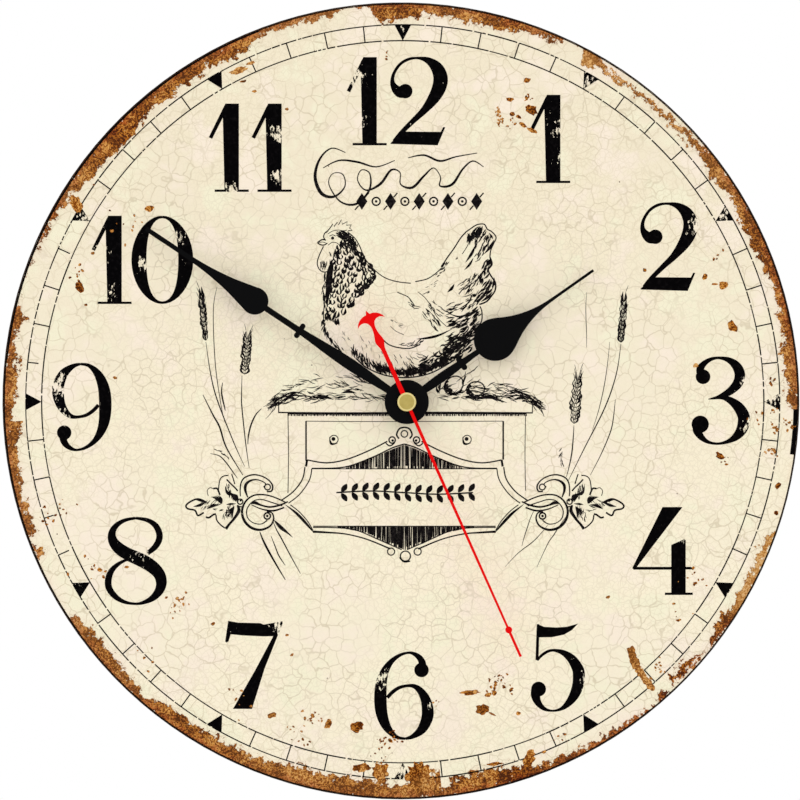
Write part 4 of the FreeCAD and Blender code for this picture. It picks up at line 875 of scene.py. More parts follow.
def draw_tail(pen, seeded):
    pen.lines(
        (0.45, (23.8, 63.9), (25.5, 65.1), (27.9, 66.6), (30.6, 66.8), (31.8, 65), (33.6, 63.9),
         (35.1, 61.9), (34.3, 59.7), (33.1, 57), (32.8, 54.4)),
        (0.6, (32.8, 54.4), (33.6, 51.8), (32.2, 49.6), (33.3, 47.2), (34.8, 44.9), (34.8, 42.1),
         (33.3, 39.7), (31.5, 37.7), (28.8, 36.6)),
        (0.45, (29.1, 35.9), (29.8, 33.6), (29.5, 30), (26.8, 26.7)),
        (0.28, (24.4, 63.4), (25.4, 61.6), (24.4, 58.8), (22.4, 55.6)),
    )
    pen.taper((17.5, 33.2), (21.2, 32), (25.3, 33.2), (28.9, 35.1), width=0.8)
    bars = [(23.6, 52.4, 27.6, 59.4, 1.1), (23.2, 49.6, 26.6, 54.2, 0.9), (30.6, 55.6, 34.4, 61, 1.1),
            (28.4, 62.8, 30, 66.2, 0.8), (32.4, 63.6, 33.8, 61.2, 0.8), (31.2, 50.8, 33.2, 54.2, 1.2),
            (16.8, 41.2, 19.4, 44.4, 1.1), (29.4, 37.6, 33.8, 41.4, 1.1), (33.6, 43.2, 34.4, 46.8, 1),
            (30.4, 46.2, 32.6, 48.6, 0.8), (13.4, 49.4, 16, 51, 0.6), (19.8, 53.6, 20.4, 54.6, 0.5),
            (20.6, 34.6, 26, 38.6, 0.4), (22.4, 39.4, 26.4, 41, 0.35), (24, 43.4, 27.4, 45.8, 0.35)]
    for x0, z0, x1, z1, width in bars:
        pen.taper((x0, z0), ((x0 + x1) / 2 + 0.3, (z0 + z1) / 2 - 0.2), (x1, z1), width=width)
    all_dashes(pen, seeded,
        ([(25, 62.4), (27, 64.2), (29.8, 65.6)], 50, 2.6, 0.8, 0.9, 3.9),
        ([(27.6, 60.4), (29.4, 63), (31.6, 64.8)], 24, 2.8, 0.5, 0.9, 3.6),
        ([(32.6, 62.8), (31, 58.6), (28.2, 54.6)], 30, 2.8, 0.5, 1.1),
        ([(32.8, 53.8), (31.2, 50.2), (29.4, 46.4)], 36, 2.4, 0.6, 1),
        ([(33.8, 45.8), (31.6, 42.2), (28, 39.2)], 48, 2.6, 0.6, 1.6),
        ([(28, 48.6), (25.4, 44.6), (22.4, 41.8)], 34, 2.8, 0.42, 2.2),
        ([(30.2, 41), (24, 36.8), (18, 35.6)], 44, 2.8, 0.45, 1.9, 0.2),
        ([(29.2, 34.6), (24.6, 31), (19, 29.6)], 60, 2.8, 0.65, 2, 0.1),
        ([(28.8, 30.4), (24, 26.6), (18.4, 24.2)], 46, 3, 0.65, 1.7, 0.1),
        ([(12.4, 47.4), (14.6, 49.2), (16.2, 51.6)], 14, 1.6, 0.5, 0.8),
    )


def draw_nest(pen, seeded):
    for side, rise in ((-1, 1), (1, 0.72)):
        pen.frame(1, 1, 0, side)
        upper = [(12, 7.4 * rise), (22, 9.0 * rise), (32, 8.6 * rise), (40, 6.4 * rise),
                 (47, 2.6), (50.4, -2)]
        middle = [(14, 4.6 * rise), (26, 6.2 * rise), (36, 5.2 * rise), (44, 2.8), (49, -0.6)]
        lower = [(12, 1.6), (24, 2.2), (34, 1.8), (44, 1), (49, -0.8)]
        for path, count, width in ((upper, 30, 0.34), (middle, 34, 0.36), (lower, 50, 0.42)):
            dashes(pen, seeded, path, count, 4.6, width, 1, seeded.choice((-0.1, 0.1)))
            dashes(pen, seeded, path, count // 3, 3.6, width, 1.2, 0.45)
        pen.tapers(
            (0.6, (36, 1.8), (42, 3.6), (48, 0.8), (51, -3.4)),
            (0.5, (30, 1), (38, 2.2), (45, 2), (49.6, -0.6)),
            (1.3, (27, 0.8), (31, 1.9), (35.6, 1.2)),
            (1, (40.6, 0.6), (43.6, 1.6), (46.6, 0.4)),
        )
    pen.frame()
    pen.taper((-23.2, 3.2), (-20.4, 3.8), (-17.4, 3.2), width=1.1)
    dashes(pen, seeded, [(-18, 5), (-12, 2.4), (-6, 1.4)], 20, 4.5, 0.36, 1)
    dashes(pen, seeded, [(13.6, 3), (14.2, 6.4), (16, 9)], 24, 2.4, 0.5, 0.6, 0.2)
    for x, z, tilt, size in ((19.2, 6.2, 0.7, 3.9), (27.4, 4.8, 0.2, 3.4)):
        egg = []
        for k in range(21):
            a = math.tau * k / 20
            along, across = size * math.cos(a), size * 0.8 * math.sin(a)
            egg.append((*tilted(x, z, along, across, tilt), 0.5))
        pen.stroke(egg, curved=False)
        dashes(pen, seeded, [(x - 2.2, z + 1.8), (x - 2.8, z - 0.4), (x - 1.4, z - 2.2)], 30, 1.5, 0.8, 0.6)
        dashes(pen, seeded, [(x - 3, z - 2.2), (x, z - 3.2), (x + 3, z - 2.4)], 12, 2, 0.6, 0.4)
    dashes(pen, seeded, [(22.6, 6), (23.6, 9.4), (26.6, 12)], 9, 3.2, 0.36, 0.5)


def draw_chest(pen, seeded):
    pen.lines(
        (0.4, (-46.7, 0.1), (-46.7, -4)),
        (0.35, (48.8, 0.1), (48.8, -4.1)),
        (0.5, (-46.9, -4.05), (-20, -4.2), (15, -4), (48.9, -4.2)),
        (0.5, (-43.4, -4.5), (-20, -4.65), (15, -4.45), (46.4, -4.6)),
    )
    hatching(pen, seeded, [(-43.5, -4.2), (46.6, -4.2)], [(-43.5, -5.4), (46.6, -5.4)], 210, 0.34)
    pen.lines(
        (0.3, (-43.2, -5), (-43, -20), (-43.2, -34.4)),
        (0.28, (46.2, -5), (46, -20), (46.2, -33.5)),
        (0.6, (-36.4, -7.3), (-36.4, -22.2)),
        (0.62, (37.8, -7.3), (37.8, -21.8)),
        (0.26, (-36.4, -7.3), (-12, -7.45), (37.8, -7.3)),
    )
    for x in (-25.9, 24.2):
        pen.ring(x, -14.2, 1.6, 0.34)
        pen.disc(x - 0.2, -14, 0.75)
        pen.taper((x - 1.7, -13.2), (x - 1, -15.8), (x + 1.4, -15.6), width=0.9)


def draw_plaque(pen, seeded):
    """The scrolled name plate; its field stays without words."""
    middle = 0.6
    for side in (-1, 1):
        pen.frame(1, middle, 0, side)
        pen.lines(
            (0.51, (36.6, -21.9), (29.2, -23), (21.4, -21.6), (12.9, -18.2), (6.4, -14.9)),
            (0.51, (34.8, -25.1), (22.5, -24.6), (12, -20.9), (4.6, -17.4), (0, -15.9)),
            (0.85, (36.6, -21.9), (37, -24.4)),
            (0.41, (34.8, -25.1), (35.8, -29.6), (39.4, -34.8), (43.6, -38.2)),
            (0.49, (37.4, -24.6), (38.4, -29.2), (41.8, -33.8), (46.4, -37.2)),
            (0.37, (42.9, -38.8), (39.6, -41.4), (36.4, -45), (34.4, -48.4)),
        )
        pen.taper((45, -38.6), (40.6, -42), (36.8, -46), (34, -49.4), width=1.1)
        pen.line((34.6, -25.25), (0, -25.25), width=0.32, curved=False)
        pen.line((34.4, -46.85), (0, -46.85), width=0.34, curved=False)
        pen.stroke([(34.4, -48.9, 0.9), (29, -49.2, 0.7), (22, -49.8, 0.5), (14, -51.8, 0.5),
                    (5.2, -55.4, 0.6)])
        pen.line((34.4, -47.3), (26, -47.4), (18, -48.4), (9, -52.2), (1, -55.7), width=0.41)
        pen.ring(4.6, -14.4, 1.2, 0.55)
        pen.disc(4.4, -14.6, 0.5)
        pen.line((3.6, -15.4), (5.4, -16.6), (7, -15.6), width=0.49)
        pen.ring(5, -56.4, 1.35, 0.45)
        pen.line((2, -13.9), (2.9, -12.4), (1.9, -10.2), (0, -9.6), width=0.61)
    pen.frame()
    pen.ring(middle, -12.1, 1.25, 0.45)
    pen.ring(middle + 0.4, -58.1, 1.9, 0.5)
    pen.line((-1.2, -58.6), (0.4, -60.2), (2.8, -60), width=0.55)
    low = [(-21.5, -25.2), (22.5, -25.2)]
    high = [(-21.5, -24.9), (-11.5, -21.2), (-4, -17.9), (0.6, -16.2), (5.2, -17.9), (12.6, -21.2),
            (22.5, -24.9)]
    hatching(pen, seeded, high, low, 120, 0.42)
    high = [(-24.5, -46.9), (27, -46.9)]
    low = [(-24.5, -47.3), (-13.5, -49.4), (-6.5, -53.2), (0.9, -55.8), (8, -53.2), (15.5, -49.4),
           (27, -47.2)]
    hatching(pen, seeded, high, low, 150, 0.46)


def draw_field_ornament(pen):
    """A row of leaves on the plaque where the photo has words."""
    pen.line((-25, -34.2), (-12, -33.6), (0.6, -34.2), (13, -34.8), (26.4, -34.2), width=0.55)
    for k in range(13):
        x = -23.4 + 4.0 * k
        for up in (1, -1):
            pen.frame(1, x, -34.2 + 0.5 * math.sin(k * 0.55), 1, up)
            pen.blob([(0.2, 0.3), (0.5, 2.2), (2.3, 3.3), (2.5, 1.6), (1.4, 0.5)])
    pen.frame()


def draw_scroll(pen):
    """One end's scrolls and knot, drawn for the left side."""
    pen.stroke([(-61.1, -35.6, 0.4), (-61.2, -33.2, 0.45), (-60.8, -30.4, 0.5), (-59.4, -28.5, 0.55),
                (-56.5, -27.5, 0.55), (-53.4, -27.9, 0.5), (-50.6, -29.4, 0.5), (-49, -31.6, 0.6),
                (-49.4, -33.6, 0.6), (-51.2, -33.8, 0.5)])
    pen.stroke([(-58.3, -36, 0.4), (-59.2, -33.5, 0.9), (-59.1, -31.3, 1.1), (-57.5, -29.8, 0.8),
                (-55.2, -29.3, 0.5), (-52.8, -30, 0.4), (-51.6, -31, 0.4), (-52.4, -32.2, 0.5)])
    pen.ring(-50.9, -32.1, 1.1, 0.5)
    pen.stroke([(-43.8, -38, 0.5), (-48.2, -36, 0.5), (-52.2, -35, 0.55), (-56.2, -35.3, 0.6),
                (-59.2, -37.6, 0.7), (-60.5, -41.2, 0.9), (-59.6, -44.8, 1), (-57, -47.4, 1),
                (-53.4, -48.2, 0.9), (-50, -46.8, 0.7), (-48.6, -44.2, 0.6), (-49.2, -41.9, 0.5),
                (-51.2, -41.3, 0.5)])
    pen.stroke([(-45.4, -39.2, 0.45), (-49.6, -37.8, 0.4), (-53.2, -36.8, 0.4), (-56.4, -37.5, 0.4),
                (-58.6, -40.4, 0.45), (-58.4, -43.6, 0.4), (-56.2, -45.6, 0.35), (-53.2, -46, 0.4),
                (-51, -44.6, 0.5)])
    pen.stroke([(-57.4, -38.4, 0.3), (-55.6, -38, 1.2), (-53.4, -38.9, 0.7), (-50, -39.6, 0.7),
                (-46.2, -38.9, 0.7), (-43.2, -37.6, 0.5)])
    pen.stroke([(-57, -38.8, 0.3), (-52.8, -40.5, 0.5), (-48.6, -41, 0.7), (-44.6, -39.8, 0.6)])
    pen.ring(-51, -43, 1.2, 0.6)
    pen.disc(-51, -43, 0.5)
    pen.ring(-61.2, -37.6, 1, 0.5)
    pen.disc(-61, -37.2, 0.4)
    pen.line((-61.8, -39.4), (-60.4, -39.6), width=0.5)


def draw_leaf(pen, seeded):
    """The lobed leaf at the left end."""
    pen.lines(
        (0.65, (-73.8, -37.9), (-76, -36.8), (-77.9, -36.7), (-80.4, -37.9), (-81.6, -39.2),
         (-80.8, -40.3), (-78.2, -40.9), (-77.1, -42.8), (-74.9, -41.7)),
        (0.4, (-69.4, -33.8), (-69.1, -30.7), (-68.5, -28.8), (-67.2, -27.9), (-65.6, -27.7)),
        (0.55, (-66.3, -29.2), (-65, -30.6), (-63.1, -32.4), (-62.1, -33.6)),
        (0.42, (-64.4, -27.2), (-63.8, -29), (-63.2, -31)),
        (0.65, (-71.3, -32.7), (-70, -32.6), (-69.4, -33.5), (-68.8, -35.1)),
        (0.28, (-73.2, -35.4), (-73.6, -33.6), (-72.6, -32.4), (-71.3, -32.7)),
        (0.7, (-74.1, -43.4), (-72.9, -43.6), (-71.3, -42.5), (-70.3, -42.3)),
        (0.5, (-70.3, -42.6), (-70, -44.5), (-68.8, -46.1), (-66.9, -47.6)),
    )
    pen.stroke([(-62.2, -38.9, 0.7), (-61.7, -41, 1.3), (-63.4, -43.9, 1), (-65.3, -46.1, 0.9),
                (-66.6, -47.9, 1.2)])
    pen.tapers(
        (1.1, (-78.8, -39.5), (-76.3, -38.9), (-74, -37.7)),
        (0.9, (-78, -36.9), (-75.6, -37.3), (-73.6, -38.1)),
        (1.2, (-73.8, -40.4), (-71.6, -39.2), (-68.8, -38.7)),
        (0.8, (-66.4, -38.7), (-64.8, -38.5), (-62.8, -38.4)),
    )
    pen.blob([(-66.8, -31.8), (-65.8, -33.6), (-63.9, -34.8), (-65.6, -35.2), (-66.7, -34)])
    for k in range(7):
        pen.tapers(
            (0.4 + 0.1 * (k % 2), (-66.4 + 0.5 * k, -33.6 - 0.2 * k), (-64.4 + 0.36 * k, -35.4),
             (-63.0 + 0.2 * k, -37.6)),
            (0.36 + 0.14 * (k % 2), (-72.2 + 0.5 * k, -35.8 + 0.1 * k), (-70.4 + 0.4 * k, -36.6),
             (-68.6 + 0.1 * k, -38.3)),
            (0.3 + 0.16 * (k % 2), (-63.4, -39.3 - 0.1 * k), (-65.2 + 0.2 * k, -40.6 - 0.32 * k),
             (-67.2 + 0.55 * k, -42.0 - 0.4 * k)),
        )
    all_dashes(pen, seeded,
        ([(-71.6, -40.2), (-70.2, -41), (-68.8, -41.4)], 6, 1.6, 0.3, 0.5, 0.3),
        ([(-76, -39.6), (-72.6, -38.6), (-69, -38.4)], 22, 1.8, 0.26, 1.5, 0.6),
        ([(-67.4, -45), (-65.8, -42.6), (-64.4, -40.2)], 22, 2, 0.28, 1.1, 0.4),
        ([(-66.6, -30.6), (-65.2, -32.8), (-63.6, -35.8)], 22, 2, 0.28, 1, -0.4),
    )


def draw_ear(pen, seeded, foot, tip, plump, count=11):
    """An ear of wheat: overlapping grains up both sides, with short beards."""
    (x0, z0), (x1, z1) = foot, tip
    length = math.hypot(x1 - x0, z1 - z0)
    ux, uz = (x1 - x0) / length, (z1 - z0) / length
    for k in range(count):
        along = length * (k + 0.3) / count
        for side in (-1, 1):
            wide = plump * (1.0 - 0.6 * abs(k / count - 0.4)) * seeded.uniform(0.7, 1.2) * side
            reach = seeded.uniform(2.8, 4.4)
            px, pz = x0 + ux * along, z0 + uz * along
            out = (px - uz * wide + ux * 1.4, pz + ux * wide + uz * 1.4)
            end = (px - uz * wide * 0.7 + ux * reach, pz + ux * wide * 0.7 + uz * reach)
            pen.taper((px, pz), out, end, width=0.9 * seeded.uniform(0.25, 1.1))
            inner = (px - uz * wide * 0.3 + ux * 1.6, pz + ux * wide * 0.3 + uz * 1.6)
            pen.taper((px, pz), inner, end, width=seeded.uniform(0.12, 0.4))
            if seeded.random() < 0.5:
                beard = (end[0] - uz * 0.8 * side + ux * 2.6, end[1] + ux * 0.8 * side + uz * 2.6)
                pen.taper(end, beard, width=0.2)


def draw_wheat(pen, seeded):
    stems = [
        ((-74.1, 22.5), (-72.4, 11), (-69.9, 0.9), (-63.7, -15.1), (-59.5, -24.4), 0.34),
        ((-69.9, 43.3), (-71.3, 34.3), (-70.6, 14.8), (-68.6, 0), (-67.1, -7.5), 0.24),
        ((-60.5, 9.9), (-60.7, 2), (-60.5, -2.6), (-59.1, -15.8), (-57.8, -24.9), 0.34),
        ((-75.2, 2.6), (-71.4, -5), (-68.9, -9.6), (-66.4, -17.2), (-60.2, -27.6), 0.5),
        ((-67.8, 7.2), (-68.2, 4), (-67.8, 1), (-67.1, -1.9), (-66.8, -3.4), 0.45),
        ((-53.2, -2.6), (-55.4, -5), (-57.2, -9), (-58.1, -13), (-58.3, -16), 0.45),
        ((-72.4, -19.5), (-69, -20.4), (-66.4, -23), (-63.8, -26.6), (-62.2, -28.8), 0.34),
        ((-53.8, -48.9), (-52.8, -51.6), (-51.1, -55.1), (-47.8, -61), (-44.2, -67), 0.6),
        ((-49.6, -50.5), (-48.2, -54), (-46.9, -57.4), (-45.6, -59.6), (-44.2, -61.6), 0.35),
        ((-48.8, -45.1), (-47.4, -48.4), (-45.8, -51.2), (-42.2, -58), (-38.5, -64.7), 0.38),
        ((64.4, -8.9), (64.2, -13), (63.7, -18.6), (62.8, -23.6), (61.6, -28.3), 0.36),
        ((82.1, 21.8), (80.4, 10.6), (76.2, -1.9), (68.5, -17.2), (62.3, -29.7), 0.34),
        ((77.9, 22.5), (76.9, 13), (75.5, 4.4), (73.6, -3.6), (71.3, -10.9), 0.22),
        ((80, 0.9), (79.4, -5), (78.3, -10.9), (74.8, -19.4), (70.6, -27.6), 0.3),
        ((69.2, 41.2), (68.9, 36), (69, 30), (69.2, 25), (69.2, 20.4), 0.2),
        ((49.4, -40.9), (48, -44), (46.8, -47.6), (45.6, -51.3), (44.8, -54.4), 0.24),
        ((54.6, -46.4), (51.6, -50), (48.6, -53), (43.5, -56.9), (38.6, -62), 0.24),
        ((61.6, -43), (58.8, -47), (56.8, -50.2), (54.6, -53.4), (50.4, -62.4), 0.26),
    ]
    for *points, width in stems:
        pen.taper(*points, width=width * 1.3, tip=width * 0.5)
    pen.blob([(-48.4, -44.6), (-45.6, -46.6), (-41.4, -51), (-43.6, -49.6), (-46.6, -47.6)])
    draw_ear(pen, seeded, (-74.1, 22.5), (-76, 41), 1.1)
    draw_ear(pen, seeded, (-59.6, 9.9), (-58.4, 24.4), 1.7)
    draw_ear(pen, seeded, (64.4, -8.7), (65.8, 9), 1.9, 12)
    draw_ear(pen, seeded, (82.1, 21.8), (83.2, 38.6), 1.3)
    dashes(pen, seeded, [(60.4, -17.4), (59.4, -20.4), (60, -24)], 8, 2.2, 0.4, 0.6)
    dashes(pen, seeded, [(-72.6, -17.6), (-68.4, -19), (-65.6, -22)], 8, 2, 0.35, 0.5)


def draw_flourish(pen):
    """Pen flourishes and a row of lozenges and rings, in place of the lettering under the twelve."""
    pen.stroke([(-21.6, 93.8, 0.3), (-26.8, 95.4, 0.5), (-31.2, 91.4, 0.8), (-33, 84.6, 1.2),
                (-30.6, 78.4, 1.3), (-25.8, 77.2, 0.9), (-21.8, 81, 0.5), (-22.6, 85.6, 0.4),
                (-26.4, 85.8, 0.3), (-27.8, 81.8, 0.4), (-23.6, 75.4, 0.6), (-17.6, 74.4, 0.9),
                (-12.6, 79.6, 0.8), (-12.4, 85.8, 0.5), (-15.6, 87.2, 0.4), (-17, 83.4, 0.4),
                (-13.8, 79.6, 0.6), (-8.4, 82, 1), (-4.4, 87.2, 0.8), (-1, 86.2, 0.4),
                (-0.8, 81.8, 0.5), (3.6, 80.6, 1), (8, 85, 0.8), (11.6, 88, 0.4),
                (14.2, 84.6, 0.4), (14, 81.2, 0.6), (18.6, 81.8, 1), (22.6, 87.6, 0.7),
                (26.4, 90.6, 0.5), (30.4, 88.4, 0.3)], per_span=5)
    pen.stroke([(-30, 88, 0.3), (-24, 90.8, 0.6), (-17, 90.2, 0.8), (-10, 88.4, 0.5),
                (-3, 90.8, 0.3)])
    pen.stroke([(2, 91.8, 0.3), (8, 92.8, 0.7), (14, 90.6, 0.8), (20, 92.2, 0.5),
                (28, 93.6, 0.3)])
    middle, low, high = 75.4, 72.2, 78.6
    for k in range(9):
        x = -15.4 + 5.4 * k
        if k % 2:
            pen.ring(x, middle, 1.5, 0.6)
            pen.disc(x, middle, 0.5)
            continue
        pen.blob([(x - 2.1, middle), (x, high), (x + 2.1, middle), (x, low)], curved=False)
        pen.line((x - 2.6, low), (x - 1.2, 73.8), width=0.5)
        pen.line((x + 2.6, high), (x + 1.2, 77), width=0.5)


def draw_hen(pen, seeded):
    for part in (draw_head, draw_hackle, draw_body, draw_wing):
        part(pen, seeded)


def draw_furniture(pen, seeded):
    for part in (draw_nest, draw_chest, draw_plaque):
        part(pen, seeded)
    draw_field_ornament(pen)


def draw_surround(pen, seeded):
    draw_flourish(pen)
    draw_wheat(pen, seeded)
    for side, shift in ((1, 0), (-1, 1.6)):
        pen.frame(1, shift, 0, side)
        draw_scroll(pen)
        draw_leaf(pen, seeded)


# ---- surfaces of the parts ----


def darkened(colour, share):
    return tuple(c * share for c in colour[:3]) + (1.0,)


def plain(name, colour, roughness, tone=0.06, scale=1.2, metallic=0.0, depth=0.02):
    """A material whose colour, gloss and surface all vary a little."""
    s = Shader(name, Metallic=metallic)
    drift = s.noise(scale * 0.12, 3.0)
    grain = s.noise(scale, 5.0, 0.6)
    mixed = s.math("ADD", s.math("MULTIPLY", drift, 0.6), s.math("MULTIPLY", grain, 0.4))
    s.set(Base_Color=s.mix(s.step(mixed, 0.35, 0.65), darkened(colour, 1 - 3 * tone), colour))
    s.set(Roughness=s.blend(grain, roughness * 0.8, roughness * 1.2))
    s.bump(grain, depth)
    return s.material


def brushed(name, colour, roughness, stretch=(1, 1, 14), scale=1.2):
    """Metal with fine lines running along one way."""
    s = Shader(name, Metallic=1.0)
    grain = s.noise(scale, 4.0, 0.6, s.stretched(stretch))
    stain = s.step(s.noise(0.12, 3.0), 0.45, 0.7)
    s.set(Base_Color=s.mix(s.math("MULTIPLY", stain, 0.5), colour, darkened(colour, 0.72)))
    s.set(Roughness=s.blend(grain, roughness * 0.75, roughness * 1.3))
    s.bump(grain, 0.006)
    return s.material


def fibreboard():
    """The back and the edge of the board: brown fibres, darker where the laser cut it."""
    s = Shader("fibreboard", Specular_IOR_Level=0.15)
    swirl = s.warped(0.05, 9.0)
    strands = [s.noise(1.5, 4.0, 0.7, s.stretched(way, swirl)) for way in ((0.22, 1, 1.3), (1.3, 1, 0.22))]
    fibres = s.math("MAXIMUM", strands[0], strands[1])
    flecks = s.step(s.noise(0.5, 3.0, 0.7), 0.58, 0.72)
    colour = s.mix(s.step(fibres, 0.42, 0.7), srgb(112, 78, 48), srgb(170, 134, 94))
    colour = s.mix(s.math("MULTIPLY", flecks, 0.55), colour, srgb(92, 60, 36))
    _x, _z, radius = s.from_centre()
    rim = s.step(s.math("ADD", radius, s.noise(0.8)), SHEET_RADIUS - 0.9, SHEET_RADIUS + 0.4)
    s.set(Base_Color=s.mix(rim, colour, srgb(40, 26, 18)))
    s.set(Roughness=s.blend(fibres, 0.7, 0.95))
    s.bump(fibres, 0.12)
    return s.material


def moulded(name, colour, roughness=0.5):
    """Plastic with the fine pitted skin of a mould."""
    s = Shader(name, Specular_IOR_Level=0.45)
    pits = s.cells(1.6, feature="F1")
    grain = s.noise(2.4, 3.0)
    smear = s.step(s.noise(0.09, 4.0), 0.42, 0.7)
    lighter = tuple(min(1.0, c + 0.0096) for c in colour[:3]) + (1.0,)
    s.set(Base_Color=s.mix(s.math("MULTIPLY", smear, 0.7), colour, lighter))
    s.set(Roughness=s.blend(smear, roughness, roughness * 1.3))
    s.bump(s.math("ADD", s.math("MULTIPLY", pits, 0.7), s.math("MULTIPLY", grain, 0.3)), 0.03)
    return s.material


def hand_paint(name, colour):
    s = Shader(name, Specular_IOR_Level=0.06)
    grain = s.noise(1.6, 4.0)
    chips = s.fall(s.noise(0.6, 5.0, 0.7), 0.27, 0.29)
    s.set(Base_Color=s.mix(chips, colour, tuple(c * 0.7 + 0.002 for c in colour[:3]) + (1.0,)))
    s.set(Roughness=s.blend(grain, 0.5, 0.65))
    s.bump(grain, 0.006)
    return s.material


def turned_brass():
    """The cap over the hands: a dull face with turned rings, and a bright rim whose lighter colour is a
    painted highlight.
    """
    s = Shader("cap_brass", Metallic=1.0)
    away = s.distance((0, CAP_FRONT / MM, 0))  # from the hands' axis, in millimetres
    rings = s.math("ADD", s.math("MULTIPLY", s.math("SINE", s.math("MULTIPLY", away, 24.0)), 0.5), 0.5)
    face = s.mix(s.noise(0.9, 3.0), srgb(178, 158, 86), srgb(198, 180, 108))
    # The lighter colour round the rim is a painted highlight, where the rounded edge would catch the light.
    colour = s.mix(s.step(away, 2.75, 2.95), face, srgb(232, 216, 150))
    s.set(Base_Color=colour, Roughness=s.blend(s.noise(1.6), 0.4, 0.6))
    s.bump(s.math("MULTIPLY", rings, s.fall(away, 2.9, 3.1)), 0.004)
    return s.material


def wound_wire():
    s = Shader("copper_wire", Metallic=0.9)
    parts = s.node("ShaderNodeSeparateXYZ", {0: s.place}).node
    turns = s.math("SINE", s.math("MULTIPLY", parts.outputs["X"], math.tau / 0.32))
    height = s.math("ADD", s.math("MULTIPLY", turns, 0.5), 0.5)
    # Painted shade and highlight: the grooves between turns are painted darker and the crests of the turns
    # lighter.
    s.set(Base_Color=s.mix(height, srgb(110, 44, 16), srgb(196, 104, 52)))
    s.set(Roughness=s.blend(s.noise(0.7), 0.28, 0.45))
    s.bump(height, 0.05)
    return s.material


def battery_sleeve(name):
    """A plain sleeve, dark but for a pale band at one end."""
    s = Shader(name, Specular_IOR_Level=0.5)
    low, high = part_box("battery_sleeve")
    parts = s.node("ShaderNodeSeparateXYZ", {0: s.place}).node
    pale_share = 0.3
    start = low[0] / MM + pale_share * (high[0] - low[0]) / MM
    dark = s.math("GREATER_THAN", parts.outputs["X"], start)
    scuff = s.step(s.noise(0.5, 4.0), 0.55, 0.75)
    colour = s.mix(dark, srgb(198, 200, 202), srgb(52, 70, 92))
    s.set(Base_Color=s.mix(s.math("MULTIPLY", scuff, 0.25), colour, srgb(146, 148, 150)))
    s.set(Roughness=s.blend(scuff, 0.25, 0.45))
    s.bump(s.noise(0.8, 3.0), 0.01)
    return s.material


def dress_parts(paper):
    """Gives every CAD part its surface. What no group names is black plastic."""
    black = moulded("black_plastic", srgb(24, 24, 26))
    grey = moulded("grey_plastic", srgb(120, 120, 118), 0.45)
    white = moulded("white_plastic", srgb(222, 218, 206), 0.4)
    amber = moulded("amber_plastic", srgb(196, 140, 62), 0.35)
    brass = brushed("brass", srgb(206, 180, 110), 0.3, (1, 1, 1), 3.0)
    steel = brushed("steel", srgb(172, 170, 166), 0.35)
    bright = brushed("bright_steel", srgb(205, 203, 198), 0.22, (1, 8, 1))
    rubber = plain("rubber", srgb(30, 29, 28), 0.8, depth=0.04)
    red = hand_paint("hand_red", srgb(232, 4, 6))
    matt_black = hand_paint("hand_black", srgb(3, 3, 4))
    groups = [
        (paper, ["dial_print"]),
        (fibreboard(), ["dial_board"]),
        (brass, ["fixing_nut", "fixing_washer", "threaded_bush", "minute_arbor"]),
        (rubber, ["rubber_washer"]),
        (matt_black, ["hour_hand", "minute_hand", "hour_hand_collet", "minute_hand_collet"]),
        (red, ["second_hand"]),
        (turned_brass(), ["second_hand_cap"]),
        (steel, ["hanger_plate", "stator", "coil_core"]),
        (bright, ["positive_contact", "negative_contact", "motor_screws", "seconds_arbor",
                  "clutch_washer", "quartz_crystal", "battery_cell"]),
        (wound_wire(), ["coil_winding"]),
        (white, ["coil_bobbin", "rotor_pinion", "minute_wheel", "centre_wheel", "third_wheel",
                 "intermediate_wheel"]),
        (amber, ["hour_wheel", "seconds_wheel"]),
        (grey, ["setting_knob", "setting_pinion"]),
        (plain("laminate", srgb(34, 92, 52), 0.4, 0.08, 0.8), ["circuit_board"]),
        (plain("epoxy", srgb(18, 18, 20), 0.25, 0.05, 0.6), ["chip_cover"]),
        (plain("magnet", srgb(70, 70, 74), 0.35, metallic=0.8), ["rotor_magnet"]),
        (battery_sleeve("cell_sleeve"), ["battery_sleeve"]),
    ]
    surfaces = {name: material for material, names in groups for name in names}
    for name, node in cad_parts.items():
        node.data.materials.clear()
        node.data.materials.append(surfaces.get(name, black))


# ---- picture ----


def look(thing, target):
    """Turns a camera or a light towards a point."""
    direction = Vector(target) - thing.location
    thing.rotation_euler = direction.to_track_quat("-Z", "Y").to_euler()


def add_area(name, place, target, size, power):
    light = bpy.data.lights.new(name, "AREA")
    light.size, light.energy = size, power
    made = bpy.data.objects.new(name, light)
    made.location = place
    bpy.context.scene.collection.objects.link(made)
    look(made, target)


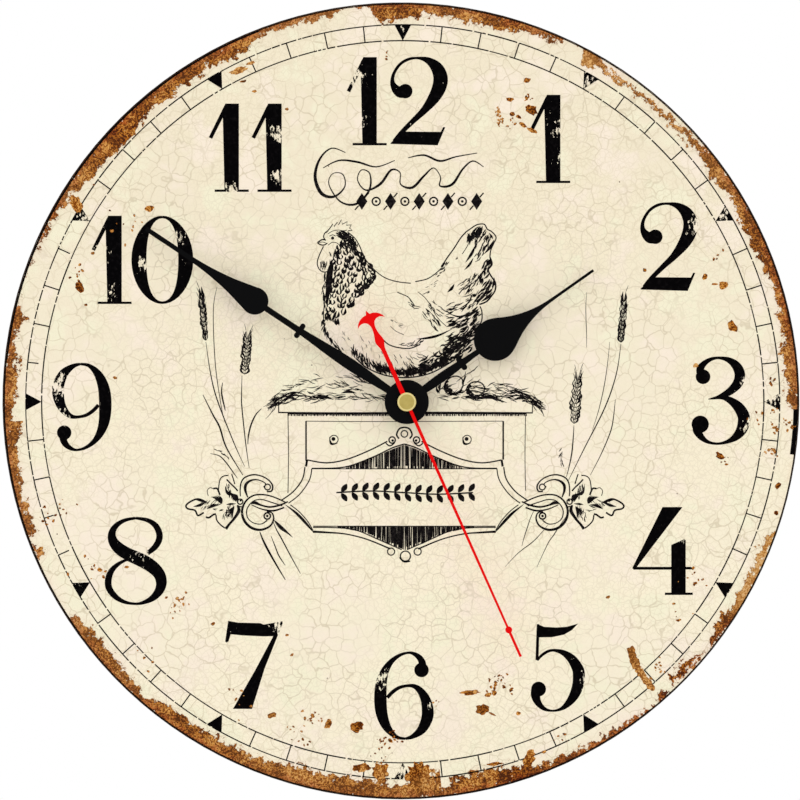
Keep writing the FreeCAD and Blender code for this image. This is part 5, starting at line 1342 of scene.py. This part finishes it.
def add_camera():
    """Straight in front of the clock, as in the photo."""
    camera = bpy.data.cameras.new("camera")
    camera.lens, camera.sensor_width = LENS, SENSOR
    made = bpy.data.objects.new("camera", camera)
    made.location = (AIM[0], AIM[1] - CAMERA_AWAY, AIM[2])
    bpy.context.scene.collection.objects.link(made)
    look(made, AIM)
    bpy.context.scene.camera = made


def add_studio():
    """A bright even room with two large soft lights."""
    world = bpy.data.worlds.new("studio")
    world.use_nodes = True
    background = world.node_tree.nodes["Background"]
    background.inputs["Color"].default_value = (1.0, 1.0, 1.0, 1.0)
    background.inputs["Strength"].default_value = 1.0
    bpy.context.scene.world = world
    add_area("key_light", (-0.9, -1.6, 1.3), (0, 0, 0), 1.4, 2.0)
    add_area("fill_light", (1.2, -1.8, 0.4), (0, 0, 0), 1.6, 1.0)
    bpy.context.scene.view_settings.view_transform = "Standard"


def add_floor():
    mesh = bpy.data.meshes.new("floor")
    corners = [(-FLOOR_SIDE, -FLOOR_SIDE, FLOOR), (FLOOR_SIDE, -FLOOR_SIDE, FLOOR),
               (FLOOR_SIDE, FLOOR_BACK, FLOOR), (-FLOOR_SIDE, FLOOR_BACK, FLOOR)]
    mesh.from_pydata(corners, [], [(0, 1, 2, 3)])
    mesh.materials.append(plain("floor", srgb(238, 237, 234), 0.7, 0.01, 0.05))
    ground = bpy.data.objects.new("floor", mesh)
    bpy.context.scene.collection.objects.link(ground)


# ---- the clock ----


dress_parts(make_paper())
seeded = random.Random(SEED)
ink = make_ink("printing_ink", INK, INK_GREY)
pen = Drawing()
draw_figures(pen)
draw_track(pen, seeded)
draw_edge_line(pen)
pen.piece("printed_figures", ink)

drawing_ink = make_ink("drawing_ink", DRAWING_INK, DRAWING_GREY)
pictures = {
    "printed_hen": draw_hen, "printed_tail": draw_tail, "printed_chest": draw_furniture,
    "printed_surround": draw_surround,
}
for layer, (name, draw) in enumerate(pictures.items()):
    pen = Drawing()
    draw(pen, seeded)
    pen.piece(name, drawing_ink, INK_HEIGHT + LAYER * layer)

pen = Drawing()
draw_spots(pen, seeded)
pen.piece("rust_patches", make_rust_spots(), RUST_HEIGHT)

add_camera()
add_studio()
add_floor()
